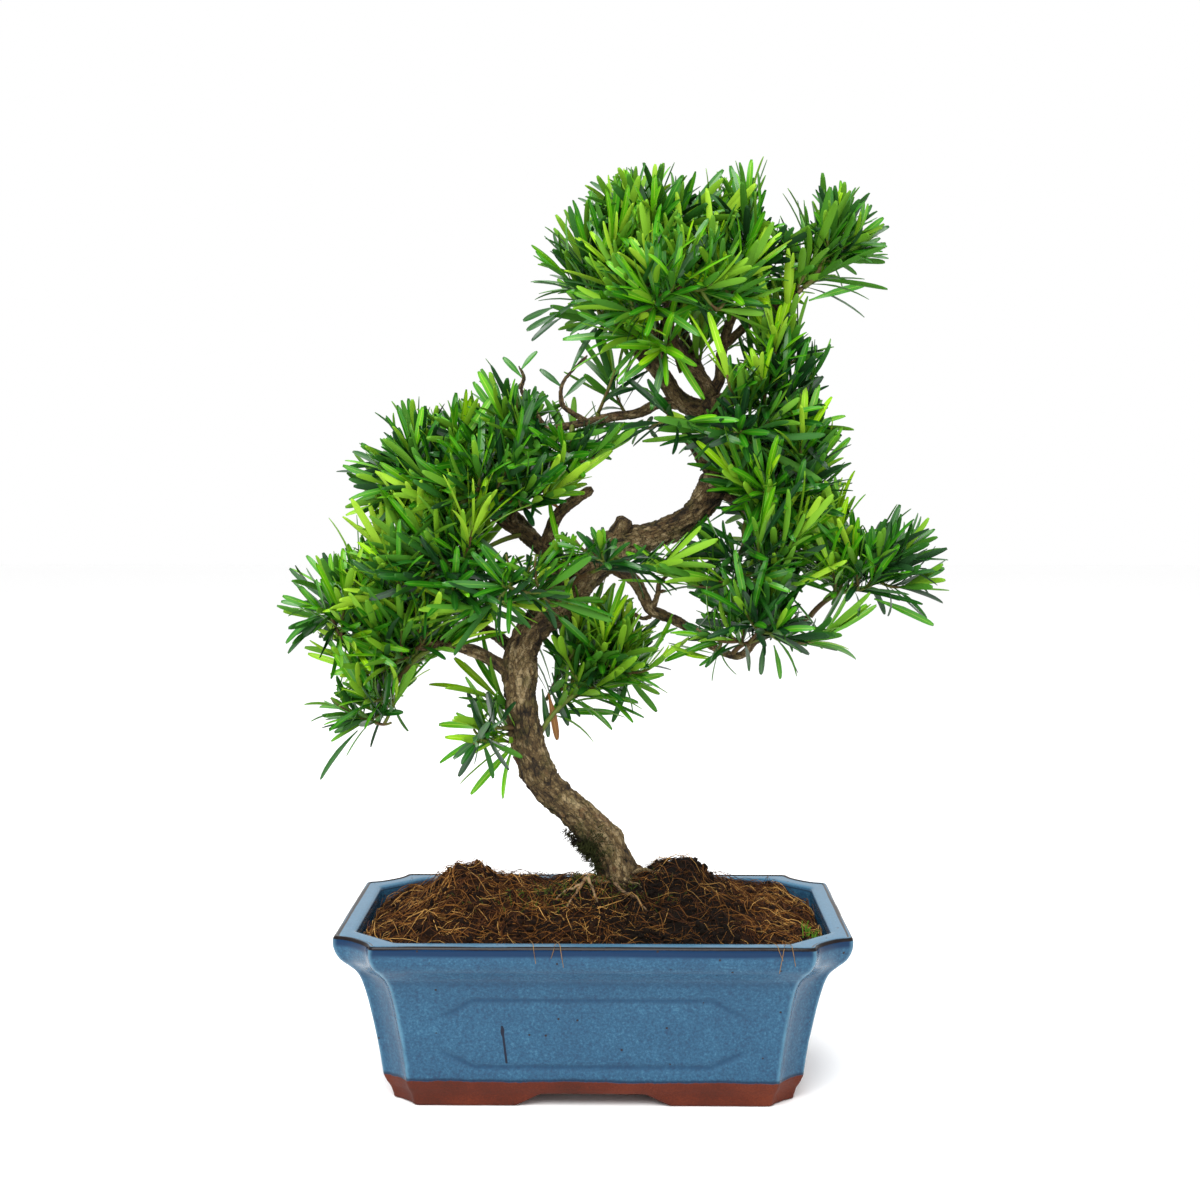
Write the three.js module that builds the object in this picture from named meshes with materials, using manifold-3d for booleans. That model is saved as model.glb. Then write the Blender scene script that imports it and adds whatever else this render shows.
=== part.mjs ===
// A podocarpus bonsai in its glazed pot, in millimetres, +Z up, with the front of the pot facing -Y.
// The origin is the bottom centre of the whole plant's box, on the ground.
import * as THREE from 'three';
import { mergeVertices } from 'three/addons/utils/BufferGeometryUtils.js';
import Module from 'manifold-3d';

const wasm = await Module();
wasm.setup();

// ---------------------------------------------------------------- driving dimensions
const CLEARANCE = 0.3;              // kept between neighbouring pieces
const POT_PLACE = [-10, 0, 0];       // the pot's centre: the crown reaches further right than left

const POT = {
  halfWidth: 150, halfDepth: 95.5, height: 102,   // at the rim's outer edge
  cornerCut: 26, cornerDip: 5,                    // the cut corner, and how far it is hollowed
  // height above the ground and inset from the rim's outer edge, from the lip down to the foot
  profile: [[102, 2.0], [100.6, 0.4], [95, 0.4], [91.5, 1.5], [87.5, 3.8], [83, 8.4], [79, 12.2],
    [75, 14.4], [67, 17], [52, 20.4], [33, 24], [15, 26.6], [11, 28.2], [7, 30.4], [0, 32.5]],
  rimWidth: 12.4, wall: 9, floor: 16,
  footGapWidth: 60, footGapSpread: 31, footGapHeight: 8, sideGapWidth: 34,
  footWidth: 15, drainRadius: 8, drainPlace: 62,
};

const SOIL = {
  edge: 93, crown: 22,              // height at the wall, and the rise to the middle
  // mounds: x, y, height, spread along x, spread along y
  mounds: [[-84, 4, 20, 26, 26], [-40, 10, 5, 34, 30], [53, 2, 19, 24, 24], [16, 0, 3, 26, 24]],
  seat: 116, seatRadius: 21,
};

// A limb's route is x, y, z from the pot's centre; its diameters run from the first point to the last.
const TRUNK = {
  route: [[17, 0, 112], [9, 0, 136], [-4, -1, 154], [-19, -2, 168], [-31, -3, 180], [-37, -4, 193],
    [-42, -5, 214], [-45, -6, 236], [-45, -6, 256], [-39, -5, 272], [-25, -4, 285], [-11, -2, 299],
    [2, 0, 314], [13, 2, 323], [30, 5, 328], [46, 6, 334], [59, 6, 342], [70, 5, 355],
    [77, 4, 371], [77, 3, 388], [74, 1, 402], [70, 0, 413]],
  diameters: [21.5, 14],
  flare: 10, flareHeight: 13,       // how much thicker the foot is, and how fast that dies away
  splits: [0.235, 0.41, 0.6, 0.81], // the bends where it is divided, as shares of its length
};

const LIMBS = {
  bough_left_back: { route: [[-45, -5, 252], [-52, 8, 262], [-70, 26, 272], [-88, 38, 281]],
    diameters: [8.5, 4.5] },
  bough_left_low: { route: [[-45, -5, 243], [-57, -8, 252], [-73, -12, 261], [-92, -18, 266],
    [-104, -18, 263]], diameters: [9.5, 4.5] },
  bough_left_upper: { route: [[-22, -4, 288], [-26, -3, 314], [-36, -2, 326], [-50, 0, 336],
    [-69, 0, 347], [-86, -2, 351]], diameters: [13, 5.5] },
  bough_left_far: { route: [[-84, -15, 264], [-98, -12, 272], [-114, -8, 278], [-131, -4, 283]],
    diameters: [5.5, 3.8] },
  bough_left_behind: { route: [[-33, -2, 322], [-42, 10, 335], [-54, 24, 345], [-66, 35, 354]],
    diameters: [7.5, 4.5] },
  bough_left_rise: { route: [[-49, 0, 336], [-53, -1, 350], [-57, -3, 366], [-56, -4, 376]],
    diameters: [7.5, 4.5] },
  stub_cut: { route: [[-30, -2, 322], [-22, -4, 342], [-12, -5, 351], [-1, -5, 358]],
    diameters: [8.5, 6] },
  stub_knob: { route: [[10, 1, 320], [15, 0, 332], [20, 0, 340]], diameters: [14, 11.5] },
  bough_right_low: { route: [[8, 0, 317], [14, -3, 309], [23, -5, 304], [30, -5, 293], [34, -4, 285],
    [41, -3, 282], [52, -2, 277], [62, -1, 270]], diameters: [8, 5.6] },
  bough_right_out: { route: [[61.8, -1, 270.2], [74, 0, 261], [88, 0, 257], [99, 0, 267],
    [115, -2, 274], [130, -3, 281]], diameters: [5, 3.4] },
  bough_right_mid: { route: [[71, 4, 358], [85, 3, 351], [94, 2, 343], [101, 2, 333]],
    diameters: [8, 5] },
  bough_right_back: { route: [[74, 4, 362], [80, 14, 358], [92, 26, 351], [106, 35, 346]],
    diameters: [8, 4.6] },
  bough_right_up: { route: [[77, 3, 388], [89, 2, 390], [101, -2, 393], [108, -5, 399]],
    diameters: [8, 5] },
  bough_inner: { route: [[73, 3, 365], [66, -2, 373], [60, -5, 383], [54, -7, 390]],
    diameters: [9, 6] },
  fork_left: { route: [[74, 1, 403], [60, 0, 406], [49, -1, 413], [41, -2, 425], [29, -3, 438],
    [17, -4, 450], [4, -5, 459]], diameters: [13.5, 6] },
  fork_centre: { route: [[69.9, 0, 413.3], [64, -1, 422], [56, -3, 432], [47, -5, 446], [42, -6, 462]],
    diameters: [12, 6.5] },
  fork_north: { route: [[41, -2, 425], [37, 2, 444], [35, 3, 464], [34, 3, 484]],
    diameters: [7.5, 5] },
  fork_back: { route: [[64, -1, 422], [60, 12, 436], [55, 24, 450], [51, 34, 466]],
    diameters: [8.5, 5] },
  fork_right: { route: [[70, 0, 414], [75, 2, 424], [76, 3, 438], [80, 3, 454], [86, 3, 468]],
    diameters: [7.5, 4.6] },
  fork_far: { route: [[77, 3, 443], [92, 4, 456], [110, 3, 468], [125, 2, 478]],
    diameters: [5.4, 3.6] },
  bough_arch: { route: [[56, -1, 408], [47, -3, 409], [38, -4, 408.5], [26, -4, 403], [11, -4, 401],
    [-3, -4, 398], [-18, -4, 395], [-30, -4, 392], [-42, -4, 387]], diameters: [7, 3.8] },
};

// A mass of foliage: the limb that carries it and the place along that limb, the middle of its space,
// its reach along x, y and z, and its number of shoots.
const MASSES = {
  crown_west: ['fork_left', 1, [-4, -3, 481], [33, 38, 44], 4],
  crown_north: ['fork_north', 1, [34, 2, 515], [46, 42, 34], 5],
  crown_east: ['fork_right', 1, [91, 0, 502], [31, 40, 48], 4],
  crown_front: ['fork_centre', 1, [50, -44, 474], [48, 28, 34], 5],
  crown_back: ['fork_back', 1, [48, 48, 494], [56, 32, 44], 4],
  crown_spray: ['fork_far', 1, [145, 0, 504], [28, 26, 35], 4],
  right_tall: ['bough_right_up', 1, [117, -8, 409], [34, 34, 50], 5],
  right_inner: ['bough_right_up', 0.3, [86, -34, 398], [28, 27, 32], 3],
  right_mid: ['bough_right_mid', 1, [113, -10, 358], [40, 34, 33], 4],
  right_far: ['bough_right_out', 1, [169, -4, 308], [40, 34, 40], 5],
  right_low_front: ['bough_right_mid', 0.7, [86, -23, 315], [38, 30, 33], 4],
  right_low: ['bough_right_out', 0.32, [102, -22, 275], [46, 36, 30], 4],
  right_back: ['bough_right_back', 1, [119, 43, 350], [38, 30, 60], 4],
  arch_spray: ['bough_arch', 0.55, [4, -10, 418], [33, 30, 31], 4],
  arch_under: ['bough_arch', 0.7, [-14, -18, 374], [36, 30, 32], 3],
  inner_front: ['bough_inner', 1, [46, -33, 404], [36, 30, 30], 4],
  left_top: ['bough_left_rise', 1, [-44, -6, 400], [38, 36, 36], 5],
  left_outer: ['bough_left_upper', 1, [-108, -2, 367], [42, 34, 42], 4],
  left_mid: ['bough_left_upper', 0.65, [-60, -32, 364], [52, 30, 30], 5],
  left_low_out: ['bough_left_far', 1, [-156, 0, 286], [33, 34, 38], 4],
  left_front: ['bough_left_upper', 0.5, [-90, -30, 309], [52, 28, 32], 5],
  left_inner: ['bough_left_upper', 0.25, [-48, -38, 298], [34, 27, 29], 3],
  left_low: ['bough_left_low', 1, [-114, -12, 264], [44, 38, 34], 4],
  left_droop: ['bough_left_low', 0.8, [-133, -6, 223], [29, 28, 32], 4],
  left_back: ['bough_left_behind', 1, [-84, 45, 368], [56, 30, 44], 4],
  left_back_low: ['bough_left_back', 1, [-116, 45, 292], [52, 30, 40], 5],
  centre_fan: ['trunk', 0.53, [7, -34, 318], [36, 30, 34], 4],
  low_left_spray: ['trunk', 0.31, [-68, -20, 217], [30, 28, 30], 3],
  low_right_spray: ['trunk', 0.27, [4, 4, 250], [44, 32, 32], 4],
};

const TWIG = { sides: 3, stemRadius: 2.4, hubRadius: 2.2, tipRadius: 1.2, bow: 0.1, inside: 0.3 };
const STEM_DEPTH = 0.5;            // how far from the middle of its space a stem ends, as a share of the reach
const SHOOT = {
  leafRoom: 20, shallowest: 0.45,    // how far inside its space a shoot ends, in mm and at least as a share
  leafy: 13, whorls: 3, twist: 0.9,  // the length that bears leaves, its whorls and the turn between them
  lift: 14, lowest: -0.7,           // how far below its tip it joins, and the lowest direction it heads in
  jointStep: 5, sharpest: 1.2,      // mm between joints, and the leader's sharpest turn in radians
  fewest: 6, tries: 60, stride: 37,   // a shoot with fewer leaves isn't grown
};
const LEAF = {
  length: 40, width: 9, thickness: 1.5, widest: 0.45, apart: 5,
  opening: [0.45, 1.05], stray: 0.16, // radians from the shoot, at its tip and at its lowest leaves
  trims: [1, 0.85, 0.7, 0.6],       // smaller sizes that are tried where space is tight
};
const SPACE_LIMIT = 1.12;           // how far out of its reach a leaf may stand, where no neighbour is
const SPACE_MARGIN = 0.02;          // of a mass's reach, kept clear on each side of a border
const LIMB_MARGIN = 0.8;            // mm kept between foliage and a limb or a neighbour's stem
const GOLDEN_TURN = Math.PI * (3 - Math.sqrt(5));
const SEED = 61;

const COLOURS = {
  glaze: 0x3f6f9c, soil: 0x4a2f1d, bark: 0x76654f,
  foliage: [0x2f8a24, 0x237a2a, 0x3f9a28, 0x1f6a33],
};

// ---------------------------------------------------------------- small tools
const vector = ([x, y, z]) => new THREE.Vector3(x, y, z);
const mix = (a, b, share) => a + (b - a) * share;
const UP = new THREE.Vector3(0, 0, 1);

function seeded(seed) {
  let state = seed >>> 0;
  return () => {
    state = (state + 0x6d2b79f5) >>> 0;
    let word = Math.imul(state ^ (state >>> 15), state | 1);
    word ^= word + Math.imul(word ^ (word >>> 7), word | 61);
    return ((word ^ (word >>> 14)) >>> 0) / 4294967296;
  };
}

function toSolid(geometry) {
  const bare = geometry.clone();
  bare.deleteAttribute('normal');
  bare.deleteAttribute('uv');
  const merged = mergeVertices(bare, 1e-4);
  return new wasm.Manifold(new wasm.Mesh({
    numProp: 3,
    vertProperties: new Float32Array(merged.attributes.position.array),
    triVerts: new Uint32Array(merged.index.array),
  }));
}

function toGeometry(solid) {
  const mesh = solid.getMesh();
  const geometry = new THREE.BufferGeometry();
  geometry.setAttribute('position', new THREE.BufferAttribute(new Float32Array(mesh.vertProperties), 3));
  geometry.setIndex(Array.from(mesh.triVerts));
  return geometry;
}

// The body that is left when loose scraps and sealed hollows are dropped.
function largestBody(solid) {
  return solid.decompose().reduce((best, body) => (body.volume() > best.volume() ? body : best));
}

// A closed surface of rings, as a sphere has: place(side, ring) gives each point, and every point of
// the first and the last ring is one and the same.
function ringSurface(sides, rings, place) {
  const geometry = new THREE.SphereGeometry(1, sides, rings);
  const position = geometry.attributes.position;
  for (let ring = 0; ring <= rings; ring += 1) {
    for (let side = 0; side <= sides; side += 1) {
      const point = place(side % sides, ring);
      position.setXYZ(ring * (sides + 1) + side, point.x, point.y, point.z);
    }
  }
  return geometry;
}

// ---------------------------------------------------------------- pot and soil
const CORNER_STEPS = 4;
const STRAIGHT_STEPS = 3;
const QUARTER_SIDES = CORNER_STEPS + STRAIGHT_STEPS;
const OUTLINE_SIDES = 4 * QUARTER_SIDES;

// A point of the pot's plan: a rectangle with cut corners, each cut hollowed by the dip. Each quarter
// is a corner and the straight side that follows it, anticlockwise from above.
function planPoint(side, halfWidth, halfDepth, cut, dip) {
  const quarter = Math.floor(side / QUARTER_SIDES);
  const step = side % QUARTER_SIDES;
  const [signX, signY] = [[1, 1], [-1, 1], [-1, -1], [1, -1]][quarter];
  const forward = quarter % 2 === 0;
  if (step > CORNER_STEPS) {
    const share = 1 - (2 * (step - CORNER_STEPS)) / STRAIGHT_STEPS;
    return forward ? [signX * (halfWidth - cut) * share, signY * halfDepth]
      : [signX * halfWidth, signY * (halfDepth - cut) * share];
  }
  const share = forward ? step / CORNER_STEPS : 1 - step / CORNER_STEPS;
  const hollow = (dip * (1 - Math.abs(2 * share - 1) ** 3)) / Math.SQRT2;
  return [signX * (halfWidth - cut * share - hollow), signY * (halfDepth - cut * (1 - share) - hollow)];
}

// A solid lofted through levels of the plan, from the highest to the lowest.
function planLoft(levels) {
  return toSolid(ringSurface(OUTLINE_SIDES, levels.length + 1, (side, ring) => {
    const level = levels[Math.min(Math.max(ring - 1, 0), levels.length - 1)];
    if (ring === 0 || ring === levels.length + 1) return new THREE.Vector3(0, 0, level.z);
    const [x, y] = planPoint(side, level.halfWidth, level.halfDepth, level.cut, level.dip);
    return new THREE.Vector3(x, y, level.top ? level.top(x, y) : level.z);
  }));
}

const insetAt = (z) => {
  const below = POT.profile.findIndex(([height]) => height <= z);
  const [low, lowInset] = POT.profile[below];
  const [high, highInset] = POT.profile[Math.max(below - 1, 0)];
  return high === low ? lowInset : mix(lowInset, highInset, (z - low) / (high - low));
};

const outerLevel = (z, inset = insetAt(z)) => ({
  z,
  halfWidth: POT.halfWidth - inset,
  halfDepth: POT.halfDepth - inset,
  cut: POT.cornerCut - inset * 0.3,
  dip: POT.cornerDip * (1 - inset / 45),
});

// A level of the pot's inside, or of the soil when it is drawn in by the clearance.
function innerLevel(z, drawnIn = 0) {
  const atRim = z > POT.height - 12;
  const inset = (atRim ? POT.rimWidth : insetAt(z) + POT.wall) + drawnIn;
  return { ...outerLevel(z, inset), cut: 27, dip: 0 };
}

const INNER_HEIGHTS = [POT.height, 90, 82, 74, 60, 36, POT.floor + 5];

function makePot() {
  const body = planLoft(POT.profile.map(([z, inset]) => outerLevel(z, inset)));
  const inside = INNER_HEIGHTS.map((z) => innerLevel(z));
  const mouth = { ...inside[0], z: POT.height + 5 };
  const floor = { ...innerLevel(POT.floor + 5, 5), z: POT.floor };
  let pot = body.subtract(planLoft([mouth, ...inside, floor]));

  const gap = (width, reach, turned) => {
    const half = width / 2;
    const outline = new THREE.Shape([[-half - POT.footGapSpread / 2, -1], [half + POT.footGapSpread / 2, -1],
      [half, POT.footGapHeight], [-half, POT.footGapHeight]].map(([x, y]) => new THREE.Vector2(x, y)));
    const geometry = new THREE.ExtrudeGeometry(outline, { depth: 2 * reach, bevelEnabled: false });
    geometry.translate(0, 0, -reach).rotateX(Math.PI / 2);
    if (turned) geometry.rotateZ(Math.PI / 2);
    return toSolid(geometry);
  };
  pot = pot.subtract(gap(POT.footGapWidth, POT.halfDepth, false));
  pot = pot.subtract(gap(POT.sideGapWidth, POT.halfWidth, true));

  const foot = outerLevel(0);
  const recess = new THREE.BoxGeometry(2 * (foot.halfWidth - POT.footWidth),
    2 * (foot.halfDepth - POT.footWidth), 2 * POT.footGapHeight - 2);
  pot = pot.subtract(toSolid(recess));
  for (const x of [-POT.drainPlace, POT.drainPlace]) {
    const drain = new THREE.CylinderGeometry(POT.drainRadius, POT.drainRadius, 60, 12);
    pot = pot.subtract(toSolid(drain.rotateX(Math.PI / 2).translate(x, 0, 0)));
  }
  return largestBody(pot);
}

// The soil's surface: a dome that falls to the walls, with mounds on it.
function soilHeight(x, y) {
  const across = Math.max(Math.abs(x) / (POT.halfWidth - POT.rimWidth),
    Math.abs(y) / (POT.halfDepth - POT.rimWidth));
  const mound = SOIL.mounds.reduce((sum, [mx, my, height, spreadX, spreadY]) => (
    sum + height * Math.exp(-(((x - mx) / spreadX) ** 2) - ((y - my) / spreadY) ** 2)), 0);
  return SOIL.edge + SOIL.crown * (1 - across ** 2.4) + mound * (1 - across ** 6);
}

function makeSoil() {
  const edge = innerLevel(SOIL.edge, CLEARANCE);
  const shares = [0.14, 0.28, 0.41, 0.53, 0.65, 0.77, 0.89, 0.998];
  const surface = shares.map((share) => ({
    ...edge,
    halfWidth: edge.halfWidth * share,
    halfDepth: edge.halfDepth * share,
    cut: edge.cut * share,
    top: soilHeight,
  }));
  const sides = INNER_HEIGHTS.filter((z) => z < SOIL.edge - 2).map((z) => innerLevel(z, CLEARANCE));
  const bottom = { ...innerLevel(POT.floor + 5, 5.6), z: POT.floor + CLEARANCE };
  const centre = { ...surface[0], halfWidth: 0.5, halfDepth: 0.5, cut: 0.2, z: soilHeight(0, 0), top: null };
  const heap = planLoft([centre, ...surface, ...sides, bottom]);
  const [footX, footY] = TRUNK.route[0];
  const pocket = new THREE.CylinderGeometry(SOIL.seatRadius, SOIL.seatRadius, 40, 20);
  pocket.rotateX(Math.PI / 2).translate(footX, footY, SOIL.seat - CLEARANCE + 20);
  return largestBody(heap.subtract(toSolid(pocket)));
}

// ---------------------------------------------------------------- trunk and boughs
const LIMB_STEP = 12;

function limbCurve({ route }) {
  return new THREE.CatmullRomCurve3(route.map(vector), false, 'centripetal');
}

function limbRadius(limb, share, turn = 0) {
  const radius = mix(limb.diameters[0], limb.diameters[1], share) / 2;
  if (!limb.flare) return radius;
  const rise = (share * limb.length) / limb.flareHeight;
  return radius + (limb.flare / 2) * Math.exp(-rise) * (1 + 0.35 * Math.cos(3 * turn + 0.6));
}

// A tapering limb between two shares of its length. Grown adds to its radius and to both of its ends.
function limbSolid(limb, from = 0, to = 1, grown = 0) {
  const sides = limb.diameters[0] > 15 ? 10 : 6;
  const steps = Math.max(2, Math.round(((to - from) * limb.length) / LIMB_STEP));
  const frames = limb.frames;
  return toSolid(ringSurface(sides, steps + 2, (side, ring) => {
    const share = mix(from, to, Math.min(Math.max(ring - 1, 0), steps) / steps);
    const centre = limb.curve.getPointAt(share);
    const tangent = limb.curve.getTangentAt(share);
    if (ring <= 1) centre.addScaledVector(tangent, -grown);
    if (ring > steps) centre.addScaledVector(tangent, grown);
    if (ring === 0 || ring === steps + 2) return centre;
    const frame = Math.round(share * (frames.normals.length - 1));
    const across = frames.normals[frame].clone().projectOnPlane(tangent).normalize();
    const other = new THREE.Vector3().crossVectors(across, tangent);
    const turn = (side / sides) * Math.PI * 2;
    const radius = limbRadius(limb, share, turn) + grown;
    return centre.addScaledVector(across, Math.cos(turn) * radius)
      .addScaledVector(other, Math.sin(turn) * radius);
  }));
}

function prepareLimb(limb) {
  const curve = limbCurve(limb);
  const length = curve.getLength();
  return { ...limb, curve, length, frames: curve.computeFrenetFrames(Math.ceil(length / 3)) };
}

const limbs = { trunk: prepareLimb(TRUNK) };
for (const [name, limb] of Object.entries(LIMBS)) limbs[name] = prepareLimb(limb);

// The trunk's pieces, as the shares of its length where each begins and ends.
const trunkSpans = [...TRUNK.splits, 1].map((end, index) => (
  [index ? TRUNK.splits[index - 1] + CLEARANCE / limbs.trunk.length : 0, end]));

// The trunk's pieces between its bends, with the lowest one cut flat where it stands in the soil.
function makeTrunk() {
  const reach = 3 * SOIL.seatRadius;
  const [footX, footY] = TRUNK.route[0];
  const ground = toSolid(new THREE.BoxGeometry(reach, reach, reach)
    .translate(footX, footY, SOIL.seat - reach / 2));
  return trunkSpans.map(([from, to], index) => {
    const piece = limbSolid(limbs.trunk, from, to);
    return index ? piece : largestBody(piece.subtract(ground));
  });
}

// Samples of a limb's axis with its radius, for keeping foliage clear of it.
function limbSamples(limb) {
  const count = Math.ceil(limb.length / 3);
  return Array.from({ length: count + 1 }, (_, index) => ({
    point: limb.curve.getPointAt(index / count),
    radius: limbRadius(limb, index / count),
  }));
}

// ---------------------------------------------------------------- foliage
// Each mass grows by the same rule. Its stem leaves the limb and bows to the hub. Each shoot heads
// for a place of its own in the space, joins the nearest twig that is there already, and turns up
// at its tip, where its leaves stand round it by the golden angle.
const masses = Object.entries(MASSES).map(([name, [limbName, share, centre, reach, shoots]], index) => {
  const limb = limbs[limbName];
  const random = seeded(SEED + index * 7919);
  const mass = { name, limb, share, centre: vector(centre), reach: vector(reach), shoots, random };
  const root = limb.curve.getPointAt(share);
  const offset = root.clone().sub(mass.centre);
  const distance = offset.clone().divide(mass.reach).length();
  const hub = mass.centre.clone().addScaledVector(offset, Math.min(0.8, STEM_DEPTH / distance));
  const span = hub.clone().sub(root);
  const bow = new THREE.Vector3(random() - 0.5, random() - 0.5, random() * 0.6 + 0.2)
    .projectOnPlane(span.clone().normalize()).normalize().multiplyScalar(span.length() * TWIG.bow);
  mass.hub = hub;
  mass.stem = [0, 0.33, 0.67, 1].map((way) => (
    root.clone().addScaledVector(span, way).addScaledVector(bow, 4 * way * (1 - way))));
  return mass;
});

const spaceValue = (mass, point) => point.clone().sub(mass.centre).divide(mass.reach).length();

// Whether points lie inside a mass's own space, on its side of every border with its neighbours.
function inOwnSpace(mass, points) {
  return points.every((point) => {
    const own = spaceValue(mass, point);
    return own < SPACE_LIMIT && masses.every((other) => (
      other === mass || spaceValue(other, point) > own + SPACE_MARGIN));
  });
}

function distanceToSegment(point, start, end) {
  const line = new THREE.Line3(start, end);
  return line.closestPointToPoint(point, true, new THREE.Vector3()).distanceTo(point);
}

const allLimbSamples = Object.values(limbs).flatMap(limbSamples);

function clearOfWood(mass, points, thickness) {
  return points.every((point) => (
    allLimbSamples.every((sample) => (
      sample.point.distanceTo(point) > sample.radius + LIMB_MARGIN + thickness))
    && masses.every((other) => other === mass || other.stem.slice(1).every((end, index) => (
      distanceToSegment(point, other.stem[index], end) > TWIG.stemRadius + LIMB_MARGIN + thickness)))));
}

const along = (start, end, count) => Array.from({ length: count + 1 }, (_, index) => (
  start.clone().lerp(end, index / count)));

// The direction that stands out from a twig at a turn round it.
function aroundTwig(tangent, turn) {
  const across = new THREE.Vector3(0.31, 0.82, 0.48).cross(tangent).normalize();
  const other = new THREE.Vector3().crossVectors(across, tangent);
  return across.multiplyScalar(Math.cos(turn)).addScaledVector(other, Math.sin(turn));
}

// The mesh of a three-sided twig through its rings. A leaf grows out of the facet that it names: eight
// faces lead from the facet's four corners to the four corners of its middle, and four on to its tip.
function twigSolid(rings, leaves = []) {
  const { sides } = TWIG;
  const points = [rings[0].centre, rings.at(-1).centre];
  const faces = [];
  const corner = (ring, side) => 2 + ring * sides + (side % sides);
  for (const { centre, tangent, turn, radius } of rings) {
    for (let side = 0; side < sides; side += 1) {
      const outward = aroundTwig(tangent, turn + (side / sides) * Math.PI * 2);
      points.push(centre.clone().addScaledVector(outward, radius));
    }
  }
  const last = rings.length - 1;
  for (let side = 0; side < sides; side += 1) {
    faces.push([0, corner(0, side), corner(0, side + 1)]);
    faces.push([1, corner(last, side + 1), corner(last, side)]);
    for (let ring = 0; ring < last; ring += 1) {
      const base = [corner(ring, side), corner(ring + 1, side), corner(ring + 1, side + 1),
        corner(ring, side + 1)];
      const leaf = leaves.find((item) => item.ring === ring && item.side === side);
      if (leaf) {
        const middle = leaf.middle.map((point) => points.push(point) - 1);
        const tip = points.push(leaf.tip) - 1;
        for (let edge = 0; edge < 4; edge += 1) {
          const next = (edge + 1) % 4;
          faces.push([base[edge], base[next], middle[edge]]);
          faces.push([base[next], middle[next], middle[edge]]);
          faces.push([middle[edge], middle[next], tip]);
        }
      } else {
        faces.push([base[0], base[1], base[2]], [base[0], base[2], base[3]]);
      }
    }
  }
  const geometry = new THREE.BufferGeometry().setFromPoints(points);
  geometry.setIndex(faces.flat());
  return toSolid(geometry);
}

// The rings of a bare twig through its points, tapering from its root to its tip.
function twigRings(points, rootRadius, tipRadius) {
  const last = points.length - 1;
  return points.map((centre, index) => ({
    centre,
    tangent: points[Math.min(index + 1, last)].clone().sub(points[Math.max(index - 1, 0)]).normalize(),
    turn: 0,
    radius: mix(rootRadius, tipRadius, index / last),
  }));
}

// A leaf's middle corners, right, upper, left and lower, and its tip.
function leafShape(root, direction, outward, axis, size) {
  const right = new THREE.Vector3().crossVectors(axis, outward).normalize();
  const upper = new THREE.Vector3().crossVectors(direction, right).normalize();
  const centre = root.clone().addScaledVector(direction, LEAF.widest * LEAF.length * size);
  const beside = (way, width) => centre.clone().addScaledVector(way, width / 2);
  return {
    middle: [beside(right, LEAF.width * size), beside(upper, LEAF.thickness),
      beside(right, -LEAF.width * size), beside(upper, -LEAF.thickness)],
    tip: root.clone().addScaledVector(direction, LEAF.length * size),
  };
}

// Directions spread evenly over a sphere whose lowest part is left out.
function shootDirection(index, count, spin) {
  const height = mix(1, SHOOT.lowest, (index + 0.5) / count);
  const radius = Math.sqrt(1 - height * height);
  const turn = index * GOLDEN_TURN + spin;
  return new THREE.Vector3(Math.cos(turn) * radius, Math.sin(turn) * radius, height);
}

// Whether points keep a distance from others that are taken already.
function clearOf(points, taken, distance) {
  return points.every((point) => taken.every((other) => other.distanceTo(point) > distance));
}

// Places on a bare twig where others may join it, with the radius that stays inside it there.
function jointsAlong(start, end, startRadius, endRadius) {
  const count = Math.max(2, Math.round(start.distanceTo(end) / SHOOT.jointStep));
  return along(start, end, count).slice(1, -1).map((point, index) => (
    { point, room: TWIG.inside * mix(startRadius, endRadius, (index + 1) / count) }));
}

// The leaves of a shoot, three in each whorl, which open wider the lower they stand.
function growLeaves(mass, base, tip, turn, taken) {
  const axis = tip.clone().sub(base).normalize();
  const leaves = [];
  for (let whorl = 0; whorl < SHOOT.whorls; whorl += 1) {
    const low = 1 - whorl / Math.max(SHOOT.whorls - 1, 1);
    const foot = base.clone().lerp(tip, (whorl + 0.5) / SHOOT.whorls);
    for (let side = 0; side < TWIG.sides; side += 1) {
      const azimuth = turn + (whorl + 0.5) * SHOOT.twist + ((side + 0.5) / TWIG.sides) * Math.PI * 2;
      const opening = mix(LEAF.opening[0], LEAF.opening[1], low) + (mass.random() - 0.5) * LEAF.stray;
      const outward = aroundTwig(axis, azimuth);
      const direction = axis.clone().multiplyScalar(Math.cos(opening))
        .addScaledVector(outward, Math.sin(opening));
      for (const trim of LEAF.trims) {
        const leaf = leafShape(foot, direction, outward, axis, trim);
        const spine = along(foot, leaf.tip, 5);
        const blade = [...spine.slice(2), leaf.middle[0], leaf.middle[2]];
        if (inOwnSpace(mass, [...leaf.middle, ...spine]) && clearOf(blade, taken.leaves, LEAF.apart)
          && clearOf(blade, taken.twigs, LEAF.apart) && clearOfWood(mass, spine, LEAF.width * 0.3)) {
          leaves.push({ ...leaf, whorl, side, blade });
          break;
        }
      }
    }
  }
  return leaves;
}

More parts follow.
